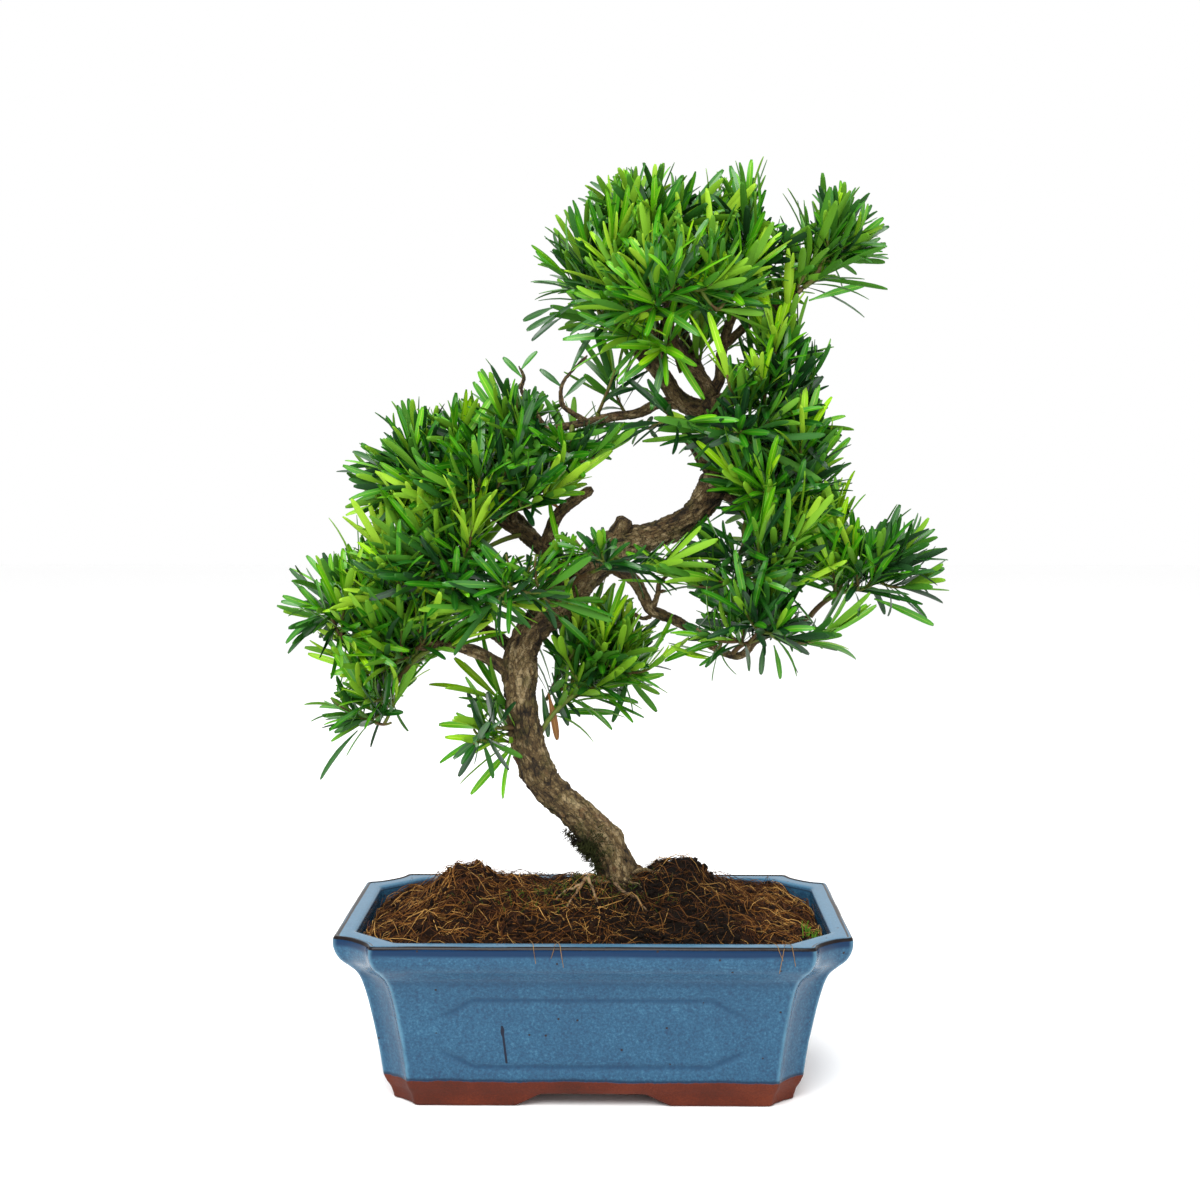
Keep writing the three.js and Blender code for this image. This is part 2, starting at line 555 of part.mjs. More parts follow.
function growMass(mass) {
  const { random, hub, stem } = mass;
  const stemEnd = hub.clone().sub(stem[2]).normalize();
  const stemRings = twigRings(stem, TWIG.stemRadius, TWIG.hubRadius);
  const pieces = [];
  const taken = { twigs: along(stem[2], hub, 4), leaves: [] };
  const spin = random() * Math.PI * 2;
  const tries = mass.shoots * SHOOT.tries;
  let joints = [{ point: hub, room: TWIG.hubRadius }];
  mass.leaves = 0;

  for (let attempt = 0; attempt < tries && pieces.length < mass.shoots; attempt += 1) {
    const leads = pieces.length === 0;
    const outward = shootDirection((attempt * SHOOT.stride) % tries, tries, spin).multiply(mass.reach);
    const deepest = Math.max(SHOOT.shallowest, 1 - SHOOT.leafRoom / outward.length());
    const tip = mass.centre.clone().addScaledVector(outward, deepest * (1.15 - 0.5 * random() ** 2));
    const turn = leads ? 0 : random() * Math.PI * 2;
    const below = tip.clone().addScaledVector(UP, -SHOOT.lift);
    const joint = joints.reduce((best, other) => (
      other.point.distanceTo(below) < best.point.distanceTo(below) ? other : best));
    const axis = tip.clone().sub(joint.point).normalize();
    const base = tip.clone().addScaledVector(axis, -SHOOT.leafy);
    const samples = along(joint.point, tip, 6).slice(2);
    if (joint.point.distanceTo(tip) < SHOOT.leafy + 3 || (leads && axis.angleTo(stemEnd) > SHOOT.sharpest)
      || !inOwnSpace(mass, samples) || !clearOfWood(mass, samples, TWIG.stemRadius)
      || !clearOf(along(base, tip, 3), taken.twigs, LEAF.apart)
      || !clearOf(samples, taken.leaves, LEAF.apart)) continue;

    const leaves = growLeaves(mass, base, tip, turn, taken);
    if (leaves.length < SHOOT.fewest) continue;
    const rootRing = { centre: joint.point, tangent: axis, turn, radius: joint.room };
    const whorls = along(base, tip, SHOOT.whorls).map((centre, index) => ({
      centre, tangent: axis, turn: turn + index * SHOOT.twist, radius: TWIG.tipRadius,
    }));
    const bare = leads ? stemRings : [rootRing];
    pieces.push(twigSolid([...bare, ...whorls],
      leaves.map((leaf) => ({ ...leaf, ring: bare.length + leaf.whorl }))));
    joints = joints.filter((other) => other !== joint);
    joints.push(...jointsAlong(joint.point, base, joint.room, TWIG.tipRadius));
    if (leads) {
      joints.push(...jointsAlong(stem[1], stem[2], TWIG.stemRadius, TWIG.hubRadius),
        ...jointsAlong(stem[2], hub, TWIG.hubRadius, TWIG.hubRadius));
    }
    taken.twigs.push(...samples);
    taken.leaves.push(...leaves.flatMap((leaf) => leaf.blade));
    mass.leaves += leaves.length;
  }
  return wasm.Manifold.union(pieces);
}

// ---------------------------------------------------------------- assembly
const plant = new THREE.Group();
plant.position.set(...POT_PLACE);

function addPiece(name, solid, colour, roughness) {
  const material = new THREE.MeshStandardMaterial({ color: colour, roughness, metalness: 0 });
  const mesh = new THREE.Mesh(toGeometry(solid), material);
  mesh.name = name;
  plant.add(mesh);
}

addPiece('pot', makePot(), COLOURS.glaze, 0.25);
addPiece('soil', makeSoil(), COLOURS.soil, 1);

const TRUNK_NAMES = ['trunk_foot', 'trunk_lower', 'trunk_bend', 'trunk_sweep', 'trunk_top'];
makeTrunk().forEach((solid, index) => addPiece(TRUNK_NAMES[index], solid, COLOURS.bark, 0.9));

// Every limb and mass starts inside the wood that carries it, and is cut clear of all the wood before it.
const clearances = trunkSpans.map(([from, to]) => limbSolid(limbs.trunk, from, to, CLEARANCE));
const cutClear = (solid) => largestBody(clearances.reduce((left, wood) => left.subtract(wood), solid));
for (const name of Object.keys(LIMBS)) {
  addPiece(name, cutClear(limbSolid(limbs[name])), COLOURS.bark, 0.9);
  clearances.push(limbSolid(limbs[name], 0, 1, CLEARANCE));
}
masses.forEach((mass, index) => {
  const colour = COLOURS.foliage[index % COLOURS.foliage.length];
  addPiece(mass.name, cutClear(growMass(mass)), colour, 0.5);
});

const object = new THREE.Group();
object.add(plant);
export default object;
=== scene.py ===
"""A podocarpus bonsai in its blue glazed pot: the finish of every surface, round the fixed frame.

Lengths in the tables are millimetres from the pot's centre on the ground; meshes are metres.
"""

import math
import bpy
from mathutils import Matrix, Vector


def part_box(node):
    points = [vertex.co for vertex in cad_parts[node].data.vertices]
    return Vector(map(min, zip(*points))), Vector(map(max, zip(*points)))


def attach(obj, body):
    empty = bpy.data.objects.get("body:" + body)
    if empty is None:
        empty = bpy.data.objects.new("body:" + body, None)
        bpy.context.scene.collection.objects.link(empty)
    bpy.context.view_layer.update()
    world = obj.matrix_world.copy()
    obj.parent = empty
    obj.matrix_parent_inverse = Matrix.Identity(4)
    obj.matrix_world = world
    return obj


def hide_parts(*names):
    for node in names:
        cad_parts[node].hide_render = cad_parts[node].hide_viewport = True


bl_info = {
    "name": "Podocarpus bonsai",
    "version": (1, 0, 0),
    "blender": (4, 5, 0),
    "location": "3D View > Sidebar > Bonsai",
    "description": "Glazed pot, fibrous soil, barked wood and grown foliage of a small evergreen tree",
    "category": "Object",
}

import bpy
import numpy as np

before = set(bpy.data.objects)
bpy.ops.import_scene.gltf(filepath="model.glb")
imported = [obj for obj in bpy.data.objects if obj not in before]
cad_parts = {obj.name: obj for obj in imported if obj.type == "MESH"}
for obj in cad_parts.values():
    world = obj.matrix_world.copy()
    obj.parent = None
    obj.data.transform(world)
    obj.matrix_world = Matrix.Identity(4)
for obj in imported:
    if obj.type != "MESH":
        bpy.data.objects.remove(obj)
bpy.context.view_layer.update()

# ---------------------------------------------------------------- driving sizes
MM = 0.001
POT_BOX = np.array(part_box("pot")) / MM
POT_PLACE = np.array([*POT_BOX.mean(axis=0)[:2], 0.0])

# The pot's outer wall: height above the ground and inset from the rim's outer edge.
POT_PROFILE = [(102, 2.0), (100.6, 0.4), (95, 0.4), (91.5, 1.5), (87.5, 3.8), (83, 8.4), (79, 12.2),
               (75, 14.4), (67, 17), (52, 20.4), (33, 24), (15, 26.6), (11, 28.2), (7, 30.4), (0, 32.5)]
POT_HALF = np.array([150.0, 95.5])
CORNER_CUT, CORNER_DIP = 26.0, 5.0
INNER_CUT, RIM_WIDTH, WALL, FLOOR = 27.0, 12.4, 9.0, 16.0
RIM_HEIGHT = POT_PROFILE[0][0]
FOOT_INSET = POT_PROFILE[-1][1]
FOOT_HEIGHT, FOOT_WIDTH = 8.0, 15.0
FOOT_GAPS = [(30.0, 45.5), (17.0, 32.5)]  # half widths at the top and the bottom, along X and along Y
DRAIN_RADIUS, DRAIN_PLACE, DRAIN_SIDES = 8.0, 62.0, 48
CORNER_COLUMNS, LONG_STEPS, SHORT_STEPS = 25, 116, 66

# The ornament line on a long side: three straight stretches above and three below, as the ends of each,
# across from the middle and up. END_SCALE fits it to the short sides.
PANEL_LINES = [((0, 66.6), (69, 66.6)), ((69, 66.6), (80, 59.5)), ((80, 59.5), (94, 53)),
               ((0, 25), (68, 25)), ((68, 25), (81, 31.5)), ((81, 31.5), (94, 36.5))]
GROOVE_WIDTH, END_SCALE = 2.1, 1.75

# Heights on the glaze: where it stops above the foot, where it is bare on the lip and inside it, where it
# pools under the lip and at the waist, and where it runs thin over the waist.
BAND_HEIGHT = 15.7
LIP_LINE, INNER_LINE, LIP_POOL, WAIST_POOL, WAIST_THIN = 101.1, 99.6, 98.8, 77.5, 84.5
RUN_PLACE, RUN_TOP, RUN_BOTTOM = -52.0, 50.5, 27.0  # a thin dark run of glaze, along x and up

SOIL_EDGE, SOIL_CROWN = 93.0, 22.0
# Along x: the middle of the bed's darker patch, where pale fibres lie apart and how far from there, and
# where dark ones gather.
DARK_PATCH_MIDDLE, PARTING, PARTING_REACH, DARK_SPOT = 50.0, 48.0, 34.0, 46.0
CLUMPS, SPROUTS, SPROUT_PLACE = 240, 26, (127.0, -50.0, 0.0)
# Mounds on the bed: place along x and y, height, and reach along x and y.
SOIL_MOUNDS = [(-84, 4, 20, 26, 26), (53, 2, 19, 24, 24), (16, 0, 3, 26, 24), (-2, -21, 9, 24, 15)]

TRUNK_ROUTE = [(17, 0, 112), (9, 0, 136), (-4, -1, 154), (-19, -2, 168), (-31, -3, 180), (-37, -4, 193),
               (-42, -5, 214), (-45, -6, 236), (-45, -6, 256), (-39, -5, 272), (-25, -4, 285),
               (-11, -2, 299), (2, 0, 314), (13, 2, 323), (30, 5, 328), (46, 6, 334), (59, 6, 342),
               (70, 5, 355), (77, 4, 371), (77, 3, 388), (74, 1, 402), (70, 0, 413)]
TRUNK_DIAMETERS = (21.5, 14)
FLARE, FLARE_HEIGHT = 10.0, 13.0

# Each bough: its route, and its diameters at the first and the last point.
LIMBS = {
    "bough_left_back": ([(-45, -5, 252), (-52, 8, 262), (-70, 26, 272), (-88, 38, 281)], (8.5, 4.5)),
    "bough_left_low": ([(-45, -5, 243), (-57, -8, 252), (-73, -12, 261), (-92, -18, 266),
                        (-104, -18, 263)], (9.5, 4.5)),
    "bough_left_upper": ([(-22, -4, 288), (-26, -3, 314), (-36, -2, 326), (-50, 0, 336), (-69, 0, 347),
                          (-86, -2, 351)], (13, 5.5)),
    "bough_left_far": ([(-84, -15, 264), (-98, -12, 272), (-114, -8, 278), (-131, -4, 283)], (5.5, 3.8)),
    "bough_left_behind": ([(-33, -2, 322), (-42, 10, 335), (-54, 24, 345), (-66, 35, 354)], (7.5, 4.5)),
    "bough_left_rise": ([(-49, 0, 336), (-53, -1, 350), (-57, -3, 366), (-56, -4, 376)], (7.5, 4.5)),
    "stub_cut": ([(-30, -2, 322), (-22, -4, 342), (-12, -5, 351), (-1, -5, 358)], (8.5, 6)),
    "stub_knob": ([(10, 1, 320), (15, 0, 332), (20, 0, 340)], (14, 11.5)),
    "bough_right_low": ([(8, 0, 317), (14, -3, 309), (23, -5, 304), (30, -5, 293), (34, -4, 285),
                         (41, -3, 282), (52, -2, 277), (62, -1, 270)], (8, 5.6)),
    "bough_right_out": ([(61.8, -1, 270.2), (74, 0, 261), (88, 0, 257), (99, 0, 267), (115, -2, 274),
                         (130, -3, 281)], (5, 3.4)),
    "bough_right_mid": ([(71, 4, 358), (85, 3, 351), (94, 2, 343), (101, 2, 333)], (8, 5)),
    "bough_right_back": ([(74, 4, 362), (80, 14, 358), (92, 26, 351), (106, 35, 346)], (8, 4.6)),
    "bough_right_up": ([(77, 3, 388), (89, 2, 390), (101, -2, 393), (108, -5, 399)], (8, 5)),
    "bough_inner": ([(73, 3, 365), (66, -2, 373), (60, -5, 383), (54, -7, 390)], (9, 6)),
    "fork_left": ([(74, 1, 403), (60, 0, 406), (49, -1, 413), (41, -2, 425), (29, -3, 438), (17, -4, 450),
                   (4, -5, 459)], (13.5, 6)),
    "fork_centre": ([(69.9, 0, 413.3), (64, -1, 422), (56, -3, 432), (47, -5, 446), (42, -6, 462)],
                    (12, 6.5)),
    "fork_north": ([(41, -2, 425), (37, 2, 444), (35, 3, 464), (34, 3, 484)], (7.5, 5)),
    "fork_back": ([(64, -1, 422), (60, 12, 436), (55, 24, 450), (51, 34, 466)], (8.5, 5)),
    "fork_right": ([(70, 0, 414), (75, 2, 424), (76, 3, 438), (80, 3, 454), (86, 3, 468)], (7.5, 4.6)),
    "fork_far": ([(77, 3, 443), (92, 4, 456), (110, 3, 468), (125, 2, 478)], (5.4, 3.6)),
    "bough_arch": ([(56, -1, 408), (47, -3, 409), (38, -4, 408.5), (26, -4, 403), (11, -4, 401),
                    (-3, -4, 398), (-18, -4, 395), (-30, -4, 392), (-42, -4, 387)], (7, 3.8)),
}

# On the trunk, places and sizes: moss, and knobs with how far they stand out.
MOSS_SPOTS = [((-8, -11, 141), 9.0), ((-2, -14, 126), 7.0), ((-40, -12, 206), 4.0), ((14, -8, 120), 5.0)]
KNOBS = [((17, -4, 150), 5.5, 2.8), ((-46, -4, 183), 4.5, 1.8), ((-50, -4, 194), 3.5, 1.6),
         ((-47, -3, 214), 5.0, 1.2), ((-27, -8, 262), 6.0, 1.4), ((58, -6, 334), 5.0, 1.6),
         ((66, -6, 352), 4.0, 1.3)]

# Roots that creep from the trunk's foot: heading in degrees, reach and thickness.
ROOTS = [(196, 34, 2.4), (222, 26, 1.8), (240, 44, 3.2), (249, 30, 2.0), (268, 22, 1.8), (292, 30, 2.2),
         (325, 34, 2.4), (352, 26, 1.8), (30, 26, 2.4), (80, 24, 2.0), (128, 28, 2.2), (166, 30, 2.0)]
ROOT_START = 8.5

# Pale roots in front of the trunk's foot: route and thickness.
FRONT_ROOTS = [([(-2, -12, 124), (-4, -22, 119), (-8, -29, 117), (-12, -36, 112), (-16, -43, 108)], 1.5),
               ([(-4, -22, 119), (-1, -30, 116), (2, -37, 111), (4, -43, 107)], 1.1),
               ([(-8, -29, 117), (-15, -30, 116), (-23, -32, 113)], 1.0),
               ([(12, -20, 118), (20, -30, 115), (30, -38, 110), (40, -44, 106)], 1.2)]

# Small twigs without shoots, as the boughs above.
BARE_TWIGS = {
    "twig_arch_out": ([(-28, -4, 390), (-34, -6, 400), (-38, -6, 408), (-44, -6, 417)], (5, 3.2)),
    "twig_arch_in": ([(-4, -4, 398), (-13, -7, 403), (-19, -8, 408), (-19, -9, 420), (-12, -10, 429),
                      (-4, -10, 437)], (3.6, 1.8)),
    "twig_arch_end": ([(-44, -6, 417), (-42, -7, 424), (-45, -7, 431)], (2.6, 1.6)),
    "twig_low_up": ([(35, -4, 286), (38, -6, 294), (39, -7, 301), (45, -8, 307)], (3.6, 1.8)),
    "twig_low_side": ([(34, -4, 281), (29, -6, 280), (23, -7, 284)], (3.2, 1.8)),
    "twig_low_stub": ([(39, -6, 296), (43, -8, 297)], (2.6, 2)),
    "twig_inner_left": ([(-50, 0, 337), (-47, -8, 345), (-42, -12, 352)], (4, 2.4)),
    "twig_right_stub": ([(80, 3, 352), (88, -4, 350), (92, -7, 347)], (4, 2.8)),
}

# Single long leaves that stand off by themselves: foot, tip and tone.
SINGLE_LEAVES = [((-143, -8, 212), (-171, -10, 185), 0.3), ((-22, -6, 462), (-41, -8, 453), 0.3),
                 ((-24, -4, 466), (-44, -2, 459), 0.3), ((-19, -14, 459), (-38, -20, 448), 0.2),
                 ((168, -6, 292), (206, -10, 279), 0.5), ((-160, -6, 282), (-189, -8, 262), 0.3),
                 ((-162, -10, 286), (-188, -14, 268), 0.4), ((-52, -22, 222), (-86, -28, 200), 0.3),
                 ((-27, 2, 236), (-14, 0, 214), 0.15), ((-28, 0, 234), (-21, -4, 205), -0.3),
                 ((-28, 4, 238), (-6, 2, 222), 0.2), ((-32, 6, 236), (-27, -2, 207), 0.22),
                 ((-26, 6, 246), (-17, 0, 216), 0.28), ((128, 0, 470), (163, -4, 482), 0.5),
                 ((-14, -10, 427), (-1, -12, 456), 0.3), ((-18, -9, 412), (-4, -12, 426), 0.3),
                 ((-19, -9, 418), (-32, -12, 430), 0.35), ((-43, -7, 424), (-54, -10, 437), 0.4),
                 ((-44, -7, 428), (-35, -9, 441), 0.4), ((108, -6, 264), (114, -10, 244), 0.5),
                 ((102, -4, 264), (100, -8, 246), 0.35),
                 ((-42, -12, 352), (-52, -20, 368), -0.3), ((-42, -12, 351), (-29, -20, 360), -0.3),
                 ((-45, -10, 348), (-59, -18, 354), -0.3), ((-20, -5, 345), (-31, -14, 356), -0.3)]

# Shoots close to the wood: foot, tip, the mass that they are part of and how much darker they are.
CLOSE_SHOOTS = [((-22, 10, 234), (-4, 6, 250), "low_right_spray", 0.1),
                ((-24, 12, 252), (-6, 10, 272), "low_right_spray", 0.15),
                ((-20, 8, 230), (4, -2, 240), "low_right_spray", 0.0),
                ((-14, 4, 240), (2, -2, 262), "low_right_spray", 0.1),
                ((-2, 4, 244), (14, -4, 258), "low_right_spray", 0.0),
                ((-44, 2, 212), (-59, -4, 214), "low_left_spray", 0.0),
                ((-44, 0, 206), (-54, -4, 205), "low_left_spray", 0.05),
                ((-30, 14, 228), (-21, 12, 250), "low_right_spray", 0.15),
                ((-30, 12, 218), (-16, 8, 230), "low_right_spray", 0.1),
                ((-46, 4, 222), (-58, 2, 230), "low_left_spray", 0.05),
                ((44, 8, 436), (34, 14, 456), "crown_front", 0.25),
                ((52, 12, 428), (46, 18, 450), "crown_back", 0.25),
                ((62, 10, 428), (66, 16, 450), "crown_back", 0.25),
                ((46, -8, 448), (40, -24, 440), "crown_front", 0.25),
                ((40, -8, 452), (22, -20, 448), "crown_front", 0.2),
                ((18, 2, 404), (12, 8, 418), "arch_spray", 0.1),
                ((119, 2, 475), (133, -4, 502), "crown_spray", 0.05),
                ((122, 3, 477), (145, 0, 493), "crown_spray", 0.0),
                ((117, 4, 474), (139, 10, 508), "crown_spray", 0.15)]

# Each mass of foliage: the limb that carries it and the place along that limb, the middle of its
# space, its reach along x, y and z, and its number of shoots.
MASSES = {
    "crown_west": ("fork_left", 1, (-4, -3, 481), (33, 38, 44), 4),
    "crown_north": ("fork_north", 1, (34, 2, 515), (46, 42, 34), 5),
    "crown_east": ("fork_right", 1, (91, 0, 502), (31, 40, 48), 4),
    "crown_front": ("fork_centre", 1, (50, -44, 474), (48, 28, 34), 5),
    "crown_back": ("fork_back", 1, (48, 48, 494), (56, 32, 44), 4),
    "crown_spray": ("fork_far", 1, (145, 0, 504), (28, 26, 35), 4),
    "right_tall": ("bough_right_up", 1, (117, -8, 409), (34, 34, 50), 5),
    "right_inner": ("bough_right_up", 0.3, (86, -34, 398), (28, 27, 32), 3),
    "right_mid": ("bough_right_mid", 1, (113, -10, 358), (40, 34, 33), 4),
    "right_far": ("bough_right_out", 1, (169, -4, 308), (40, 34, 40), 5),
    "right_low_front": ("bough_right_mid", 0.7, (86, -23, 315), (38, 30, 33), 4),
    "right_low": ("bough_right_out", 0.32, (102, -22, 275), (46, 36, 30), 4),
    "right_back": ("bough_right_back", 1, (119, 43, 350), (38, 30, 60), 4),
    "arch_spray": ("bough_arch", 0.55, (4, -10, 418), (33, 30, 31), 4),
    "arch_under": ("bough_arch", 0.7, (-14, -18, 374), (36, 30, 32), 3),
    "inner_front": ("bough_inner", 1, (46, -33, 404), (36, 30, 30), 4),
    "left_top": ("bough_left_rise", 1, (-44, -6, 400), (38, 36, 36), 5),
    "left_outer": ("bough_left_upper", 1, (-108, -2, 367), (42, 34, 42), 4),
    "left_mid": ("bough_left_upper", 0.65, (-60, -32, 364), (52, 30, 30), 5),
    "left_low_out": ("bough_left_far", 1, (-156, 0, 286), (33, 34, 38), 4),
    "left_front": ("bough_left_upper", 0.5, (-90, -30, 309), (52, 28, 32), 5),
    "left_inner": ("bough_left_upper", 0.25, (-48, -38, 298), (34, 27, 29), 3),
    "left_low": ("bough_left_low", 1, (-114, -12, 264), (44, 38, 34), 4),
    "left_droop": ("bough_left_low", 0.8, (-133, -6, 223), (29, 28, 32), 4),
    "left_back": ("bough_left_behind", 1, (-84, 45, 368), (56, 30, 44), 4),
    "left_back_low": ("bough_left_back", 1, (-116, 45, 292), (52, 30, 40), 5),
    "centre_fan": ("trunk", 0.53, (7, -34, 318), (36, 30, 34), 4),
    "low_left_spray": ("trunk", 0.31, (-68, -20, 217), (30, 28, 30), 3),
    "low_right_spray": ("trunk", 0.27, (4, 4, 250), (44, 32, 32), 4),
}

# Where the crown is open: the middle of each opening and its reach, along x and z, and how far back it
# goes. Those that end near the wood leave it in sight from the front.
OPENINGS = [((31, 356), (36, 29), 99), ((-20, 433), (33, 17), 99), ((148, 462), (26, 15), 99),
            ((-98, 219), (23, 27), 99), ((-74, 250), (27, 15), 99), ((-167, 328), (15, 9), 99),
            ((50, 290), (14, 10), 99), ((133, 292), (9, 12), 99), ((4, 438), (25, 9), 99),
            ((80, 447), (9, 10), 99), ((83, 338), (9, 7), 99), ((111, 531), (13, 12), 99),
            ((143, 421), (8, 22), 99), ((173, 273), (21, 9), 99), ((133, 260), (12, 7), 99),
            ((119, 524), (14, 11), 99), ((172, 482), (15, 9), 99), ((52, 250), (15, 9), 99),
            ((-167, 245), (11, 14), 99), ((166, 350), (13, 13), 99), ((-136, 398), (13, 13), 99),
            ((-9, 342), (13, 9), 99), ((2, 405), (38, 7), 3), ((38, 430), (20, 11), 3),
            ((58, 420), (18, 18), 4), ((-4, 306), (9, 13), 0), ((-32, 250), (10, 26), 3),
            ((-46, 331), (22, 10), -5), ((-16, 344), (15, 10), -7)]

# Masses whose leaves are darker or lighter than the rest; on the inner and back masses the darkening is
# painted shade.
MASS_TONES = {"right_tall": -0.15, "right_inner": -0.1, "inner_front": -0.08, "arch_spray": -0.04,
              "right_back": -0.08, "crown_back": -0.04, "centre_fan": -0.02, "left_low": 0.12,
              "left_low_out": 0.1, "left_droop": 0.1, "left_front": 0.03, "crown_west": 0.01,
              "crown_front": -0.02, "left_mid": -0.07, "left_outer": -0.03, "low_right_spray": 0.06}

# Masses with more or fewer shoots than the rest, and how many times as many.
MASS_SHOOTS = {"low_right_spray": 0.9, "low_left_spray": 0.7, "crown_spray": 0.5, "arch_spray": 1.3,
               "inner_front": 1.3}

# How a mass grows. Depths are shares of its reach, 0 at its middle: a stem ends at STEM_DEPTH, bowed by
# STEM_BOW of its length, and shoots head for depths from SHOOT_NEAR on, over SHOOT_RANGE. A shoot looks for
# its joint SHOOT_LIFT below its tip, and points down by a sine of SHOOT_LOWEST at most. SHOOT_TRIES
# directions are tried, in leaps of SHOOT_STRIDE. Foliage keeps within SPACE_LIMIT of some mass and the
# margins away from wood, and what doesn't fit is drawn in step by step.
STEM_DEPTH, STEM_BOW = 0.5, 0.1
SHOOT_LIFT, SHOOT_LOWEST = 14.0, -0.7
SHOOT_TRIES, SHOOT_STRIDE = 120, 37
SHOOT_SHORTEST, SHOOT_NEAR, SHOOT_RANGE = 13, 0.25, 0.8
SHOOT_SHRINK, LEAF_SHRINK = 0.84, 0.86
SPACE_LIMIT, WOOD_MARGIN, LEAF_MARGIN = 1.12, 0.8, 0.8
TWIG_STEM, TWIG_ROOT, TWIG_TIP = 1.7, 1.15, 0.75
GOLDEN_TURN = math.pi * (3 - math.sqrt(5))

# A shoot's leaves: how many at least, degrees between shoot and leaf at its tip and how many more at its
# foot, the pull upwards of the oldest, the bend and how much more of it, and the least share of full size.
FEWEST_LEAVES, LEAF_ANGLE, LEAF_ANGLE_MORE, LEAF_LIFT = 12, 9, 50, 0.16
LEAF_BEND, LEAF_BEND_MORE, LEAST_LEAF = 0.16, 0.14, 0.45

# A leaf's tone, from 0 for dark to 1 for light: what all have, what a millimetre above the middle height
# adds as painted light from above, what its place in its mass adds as painted light on the mass's top,
# what its youth adds, what its distance from the mass's middle adds as painted shade deep inside the mass,
# and by how much shoots and single leaves differ.
TONE, PAINTED_LIGHT_BY_HEIGHT, MIDDLE_HEIGHT = 0.635, 0.0002, 380
PAINTED_LIGHT_BY_RISE, TONE_BY_YOUTH, MIDDLE_AGE, PAINTED_SHADE_BY_DEPTH, MIDDLE_DEPTH = 0.12, 0.34, 0.45, 0.55, 0.72
SHOOTS_DIFFER, LEAVES_DIFFER = 0.09, 0.1
SEED = 61

# A direction that no limb, twig or leaf follows, to cross theirs with.
SKEW = (0.31, 0.82, 0.48)

# Each lamp: its name, its place and its size.
LAMPS = [("key", (-420, -1250, 1600), 1500), ("fill", (1000, -1200, 700), 1300),
         ("top", (100, 300, 1600), 1200)]
LAMP_AIM = np.array([0.0, 0.0, 260.0])
FLOOR_HALF, FLOOR_LEVEL = 6000.0, -0.2
# The camera: its place, the degrees that it turns left and dips, and the lengths of its lens and its film.
CAMERA_PLACE, CAMERA_TURN, CAMERA_DIP = (16.8, -1117.0, 370.0), 0.69, 4.06
CAMERA_LENS, CAMERA_SENSOR = 55.56, 36.0


def linear(red, green, blue):
    """A display colour of 0 to 255 as the linear colour that shaders take."""
    return tuple(v / 12.92 if v <= 0.04045 else ((v + 0.055) / 1.055) ** 2.4
                 for v in (red / 255, green / 255, blue / 255))


# ---------------------------------------------------------------- numbers and noise
def seeded(seed):
    """A source of random numbers from 0 to 1, by which masses place their stems and shoots: a counter whose
    bits are mixed by shifts and products."""
    state = seed & 0xFFFFFFFF

    def draw():
        nonlocal state
        state = (state + 0x6D2B79F5) & 0xFFFFFFFF
        word = ((state ^ (state >> 15)) * (state | 1)) & 0xFFFFFFFF
        word ^= (word + ((word ^ (word >> 7)) * (word | 61))) & 0xFFFFFFFF
        return ((word ^ (word >> 14)) & 0xFFFFFFFF) / 4294967296

    return draw


def soft_noise(points, size, seed=0):
    """Noise from -1 to 1 with features of one size: hashed lattice values, blended by smooth steps."""
    place = np.asarray(points, float) / size
    low = np.floor(place).astype(np.int64)
    share = place - low
    share = share * share * (3 - 2 * share)
    total = np.zeros(place.shape[:-1])
    for corner in range(8):
        offset = np.array([corner & 1, corner >> 1 & 1, corner >> 2 & 1])
        cell = low + offset
        word = cell[..., 0] * 374761393 + cell[..., 1] * 668265263 + cell[..., 2] * 1440662683
        word = (word + seed * 974711) & 0xFFFFFFFF
        word = ((word ^ (word >> 13)) * 1274126177) & 0xFFFFFFFF
        value = ((word ^ (word >> 16)) & 0xFFFF) / 32767.5 - 1
        total += value * np.prod(np.where(offset, share, 1 - share), axis=-1)
    return total


def rough_noise(points, size, layers, seed=0):
    """Layers of soft noise, each half as large and half as strong as the one before."""
    return sum(soft_noise(points, size / 2 ** layer, seed + layer) / 2 ** layer for layer in range(layers))


def smooth_step(value, low, high):
    """0 below low, 1 above high, and a smooth step between."""
    share = np.clip((value - low) / (high - low), 0, 1)
    return share * share * (3 - 2 * share)


def unit(vectors):
    """Vectors brought to length 1."""
    return vectors / np.maximum(np.linalg.norm(vectors, axis=-1, keepdims=True), 1e-12)


def fine_curve(route, samples=400):
    """Points evenly spaced along a centripetal Catmull-Rom curve through the route's points."""
    points = np.array(route, float)
    points = np.vstack([2 * points[0] - points[1], points, 2 * points[-1] - points[-2]])
    spans = len(points) - 3
    place = np.linspace(0, spans, 8 * samples)
    start = np.minimum(place.astype(int), spans - 1)
    share = (place - start)[:, None]
    before, first, second, after = (points[start + step] for step in range(4))
    gaps = [np.sqrt(np.linalg.norm(b - a, axis=1))[:, None]
            for a, b in ((before, first), (first, second), (second, after))]
    gaps[0] = np.where(gaps[0] < 1e-4, gaps[1], gaps[0])
    gaps[2] = np.where(gaps[2] < 1e-4, gaps[1], gaps[2])
    lead = ((first - before) / gaps[0] - (second - before) / (gaps[0] + gaps[1])
            + (second - first) / gaps[1]) * gaps[1]
    trail = ((second - first) / gaps[1] - (after - first) / (gaps[1] + gaps[2])
             + (after - second) / gaps[2]) * gaps[1]
    curve = (first + lead * share + (-3 * first + 3 * second - 2 * lead - trail) * share ** 2
             + (2 * first - 2 * second + lead + trail) * share ** 3)
    lengths = np.concatenate([[0], np.cumsum(np.linalg.norm(np.diff(curve, axis=0), axis=1))])
    even = np.linspace(0, lengths[-1], samples + 1)
    return np.stack([np.interp(even, lengths, column) for column in curve.T], axis=1), lengths[-1]


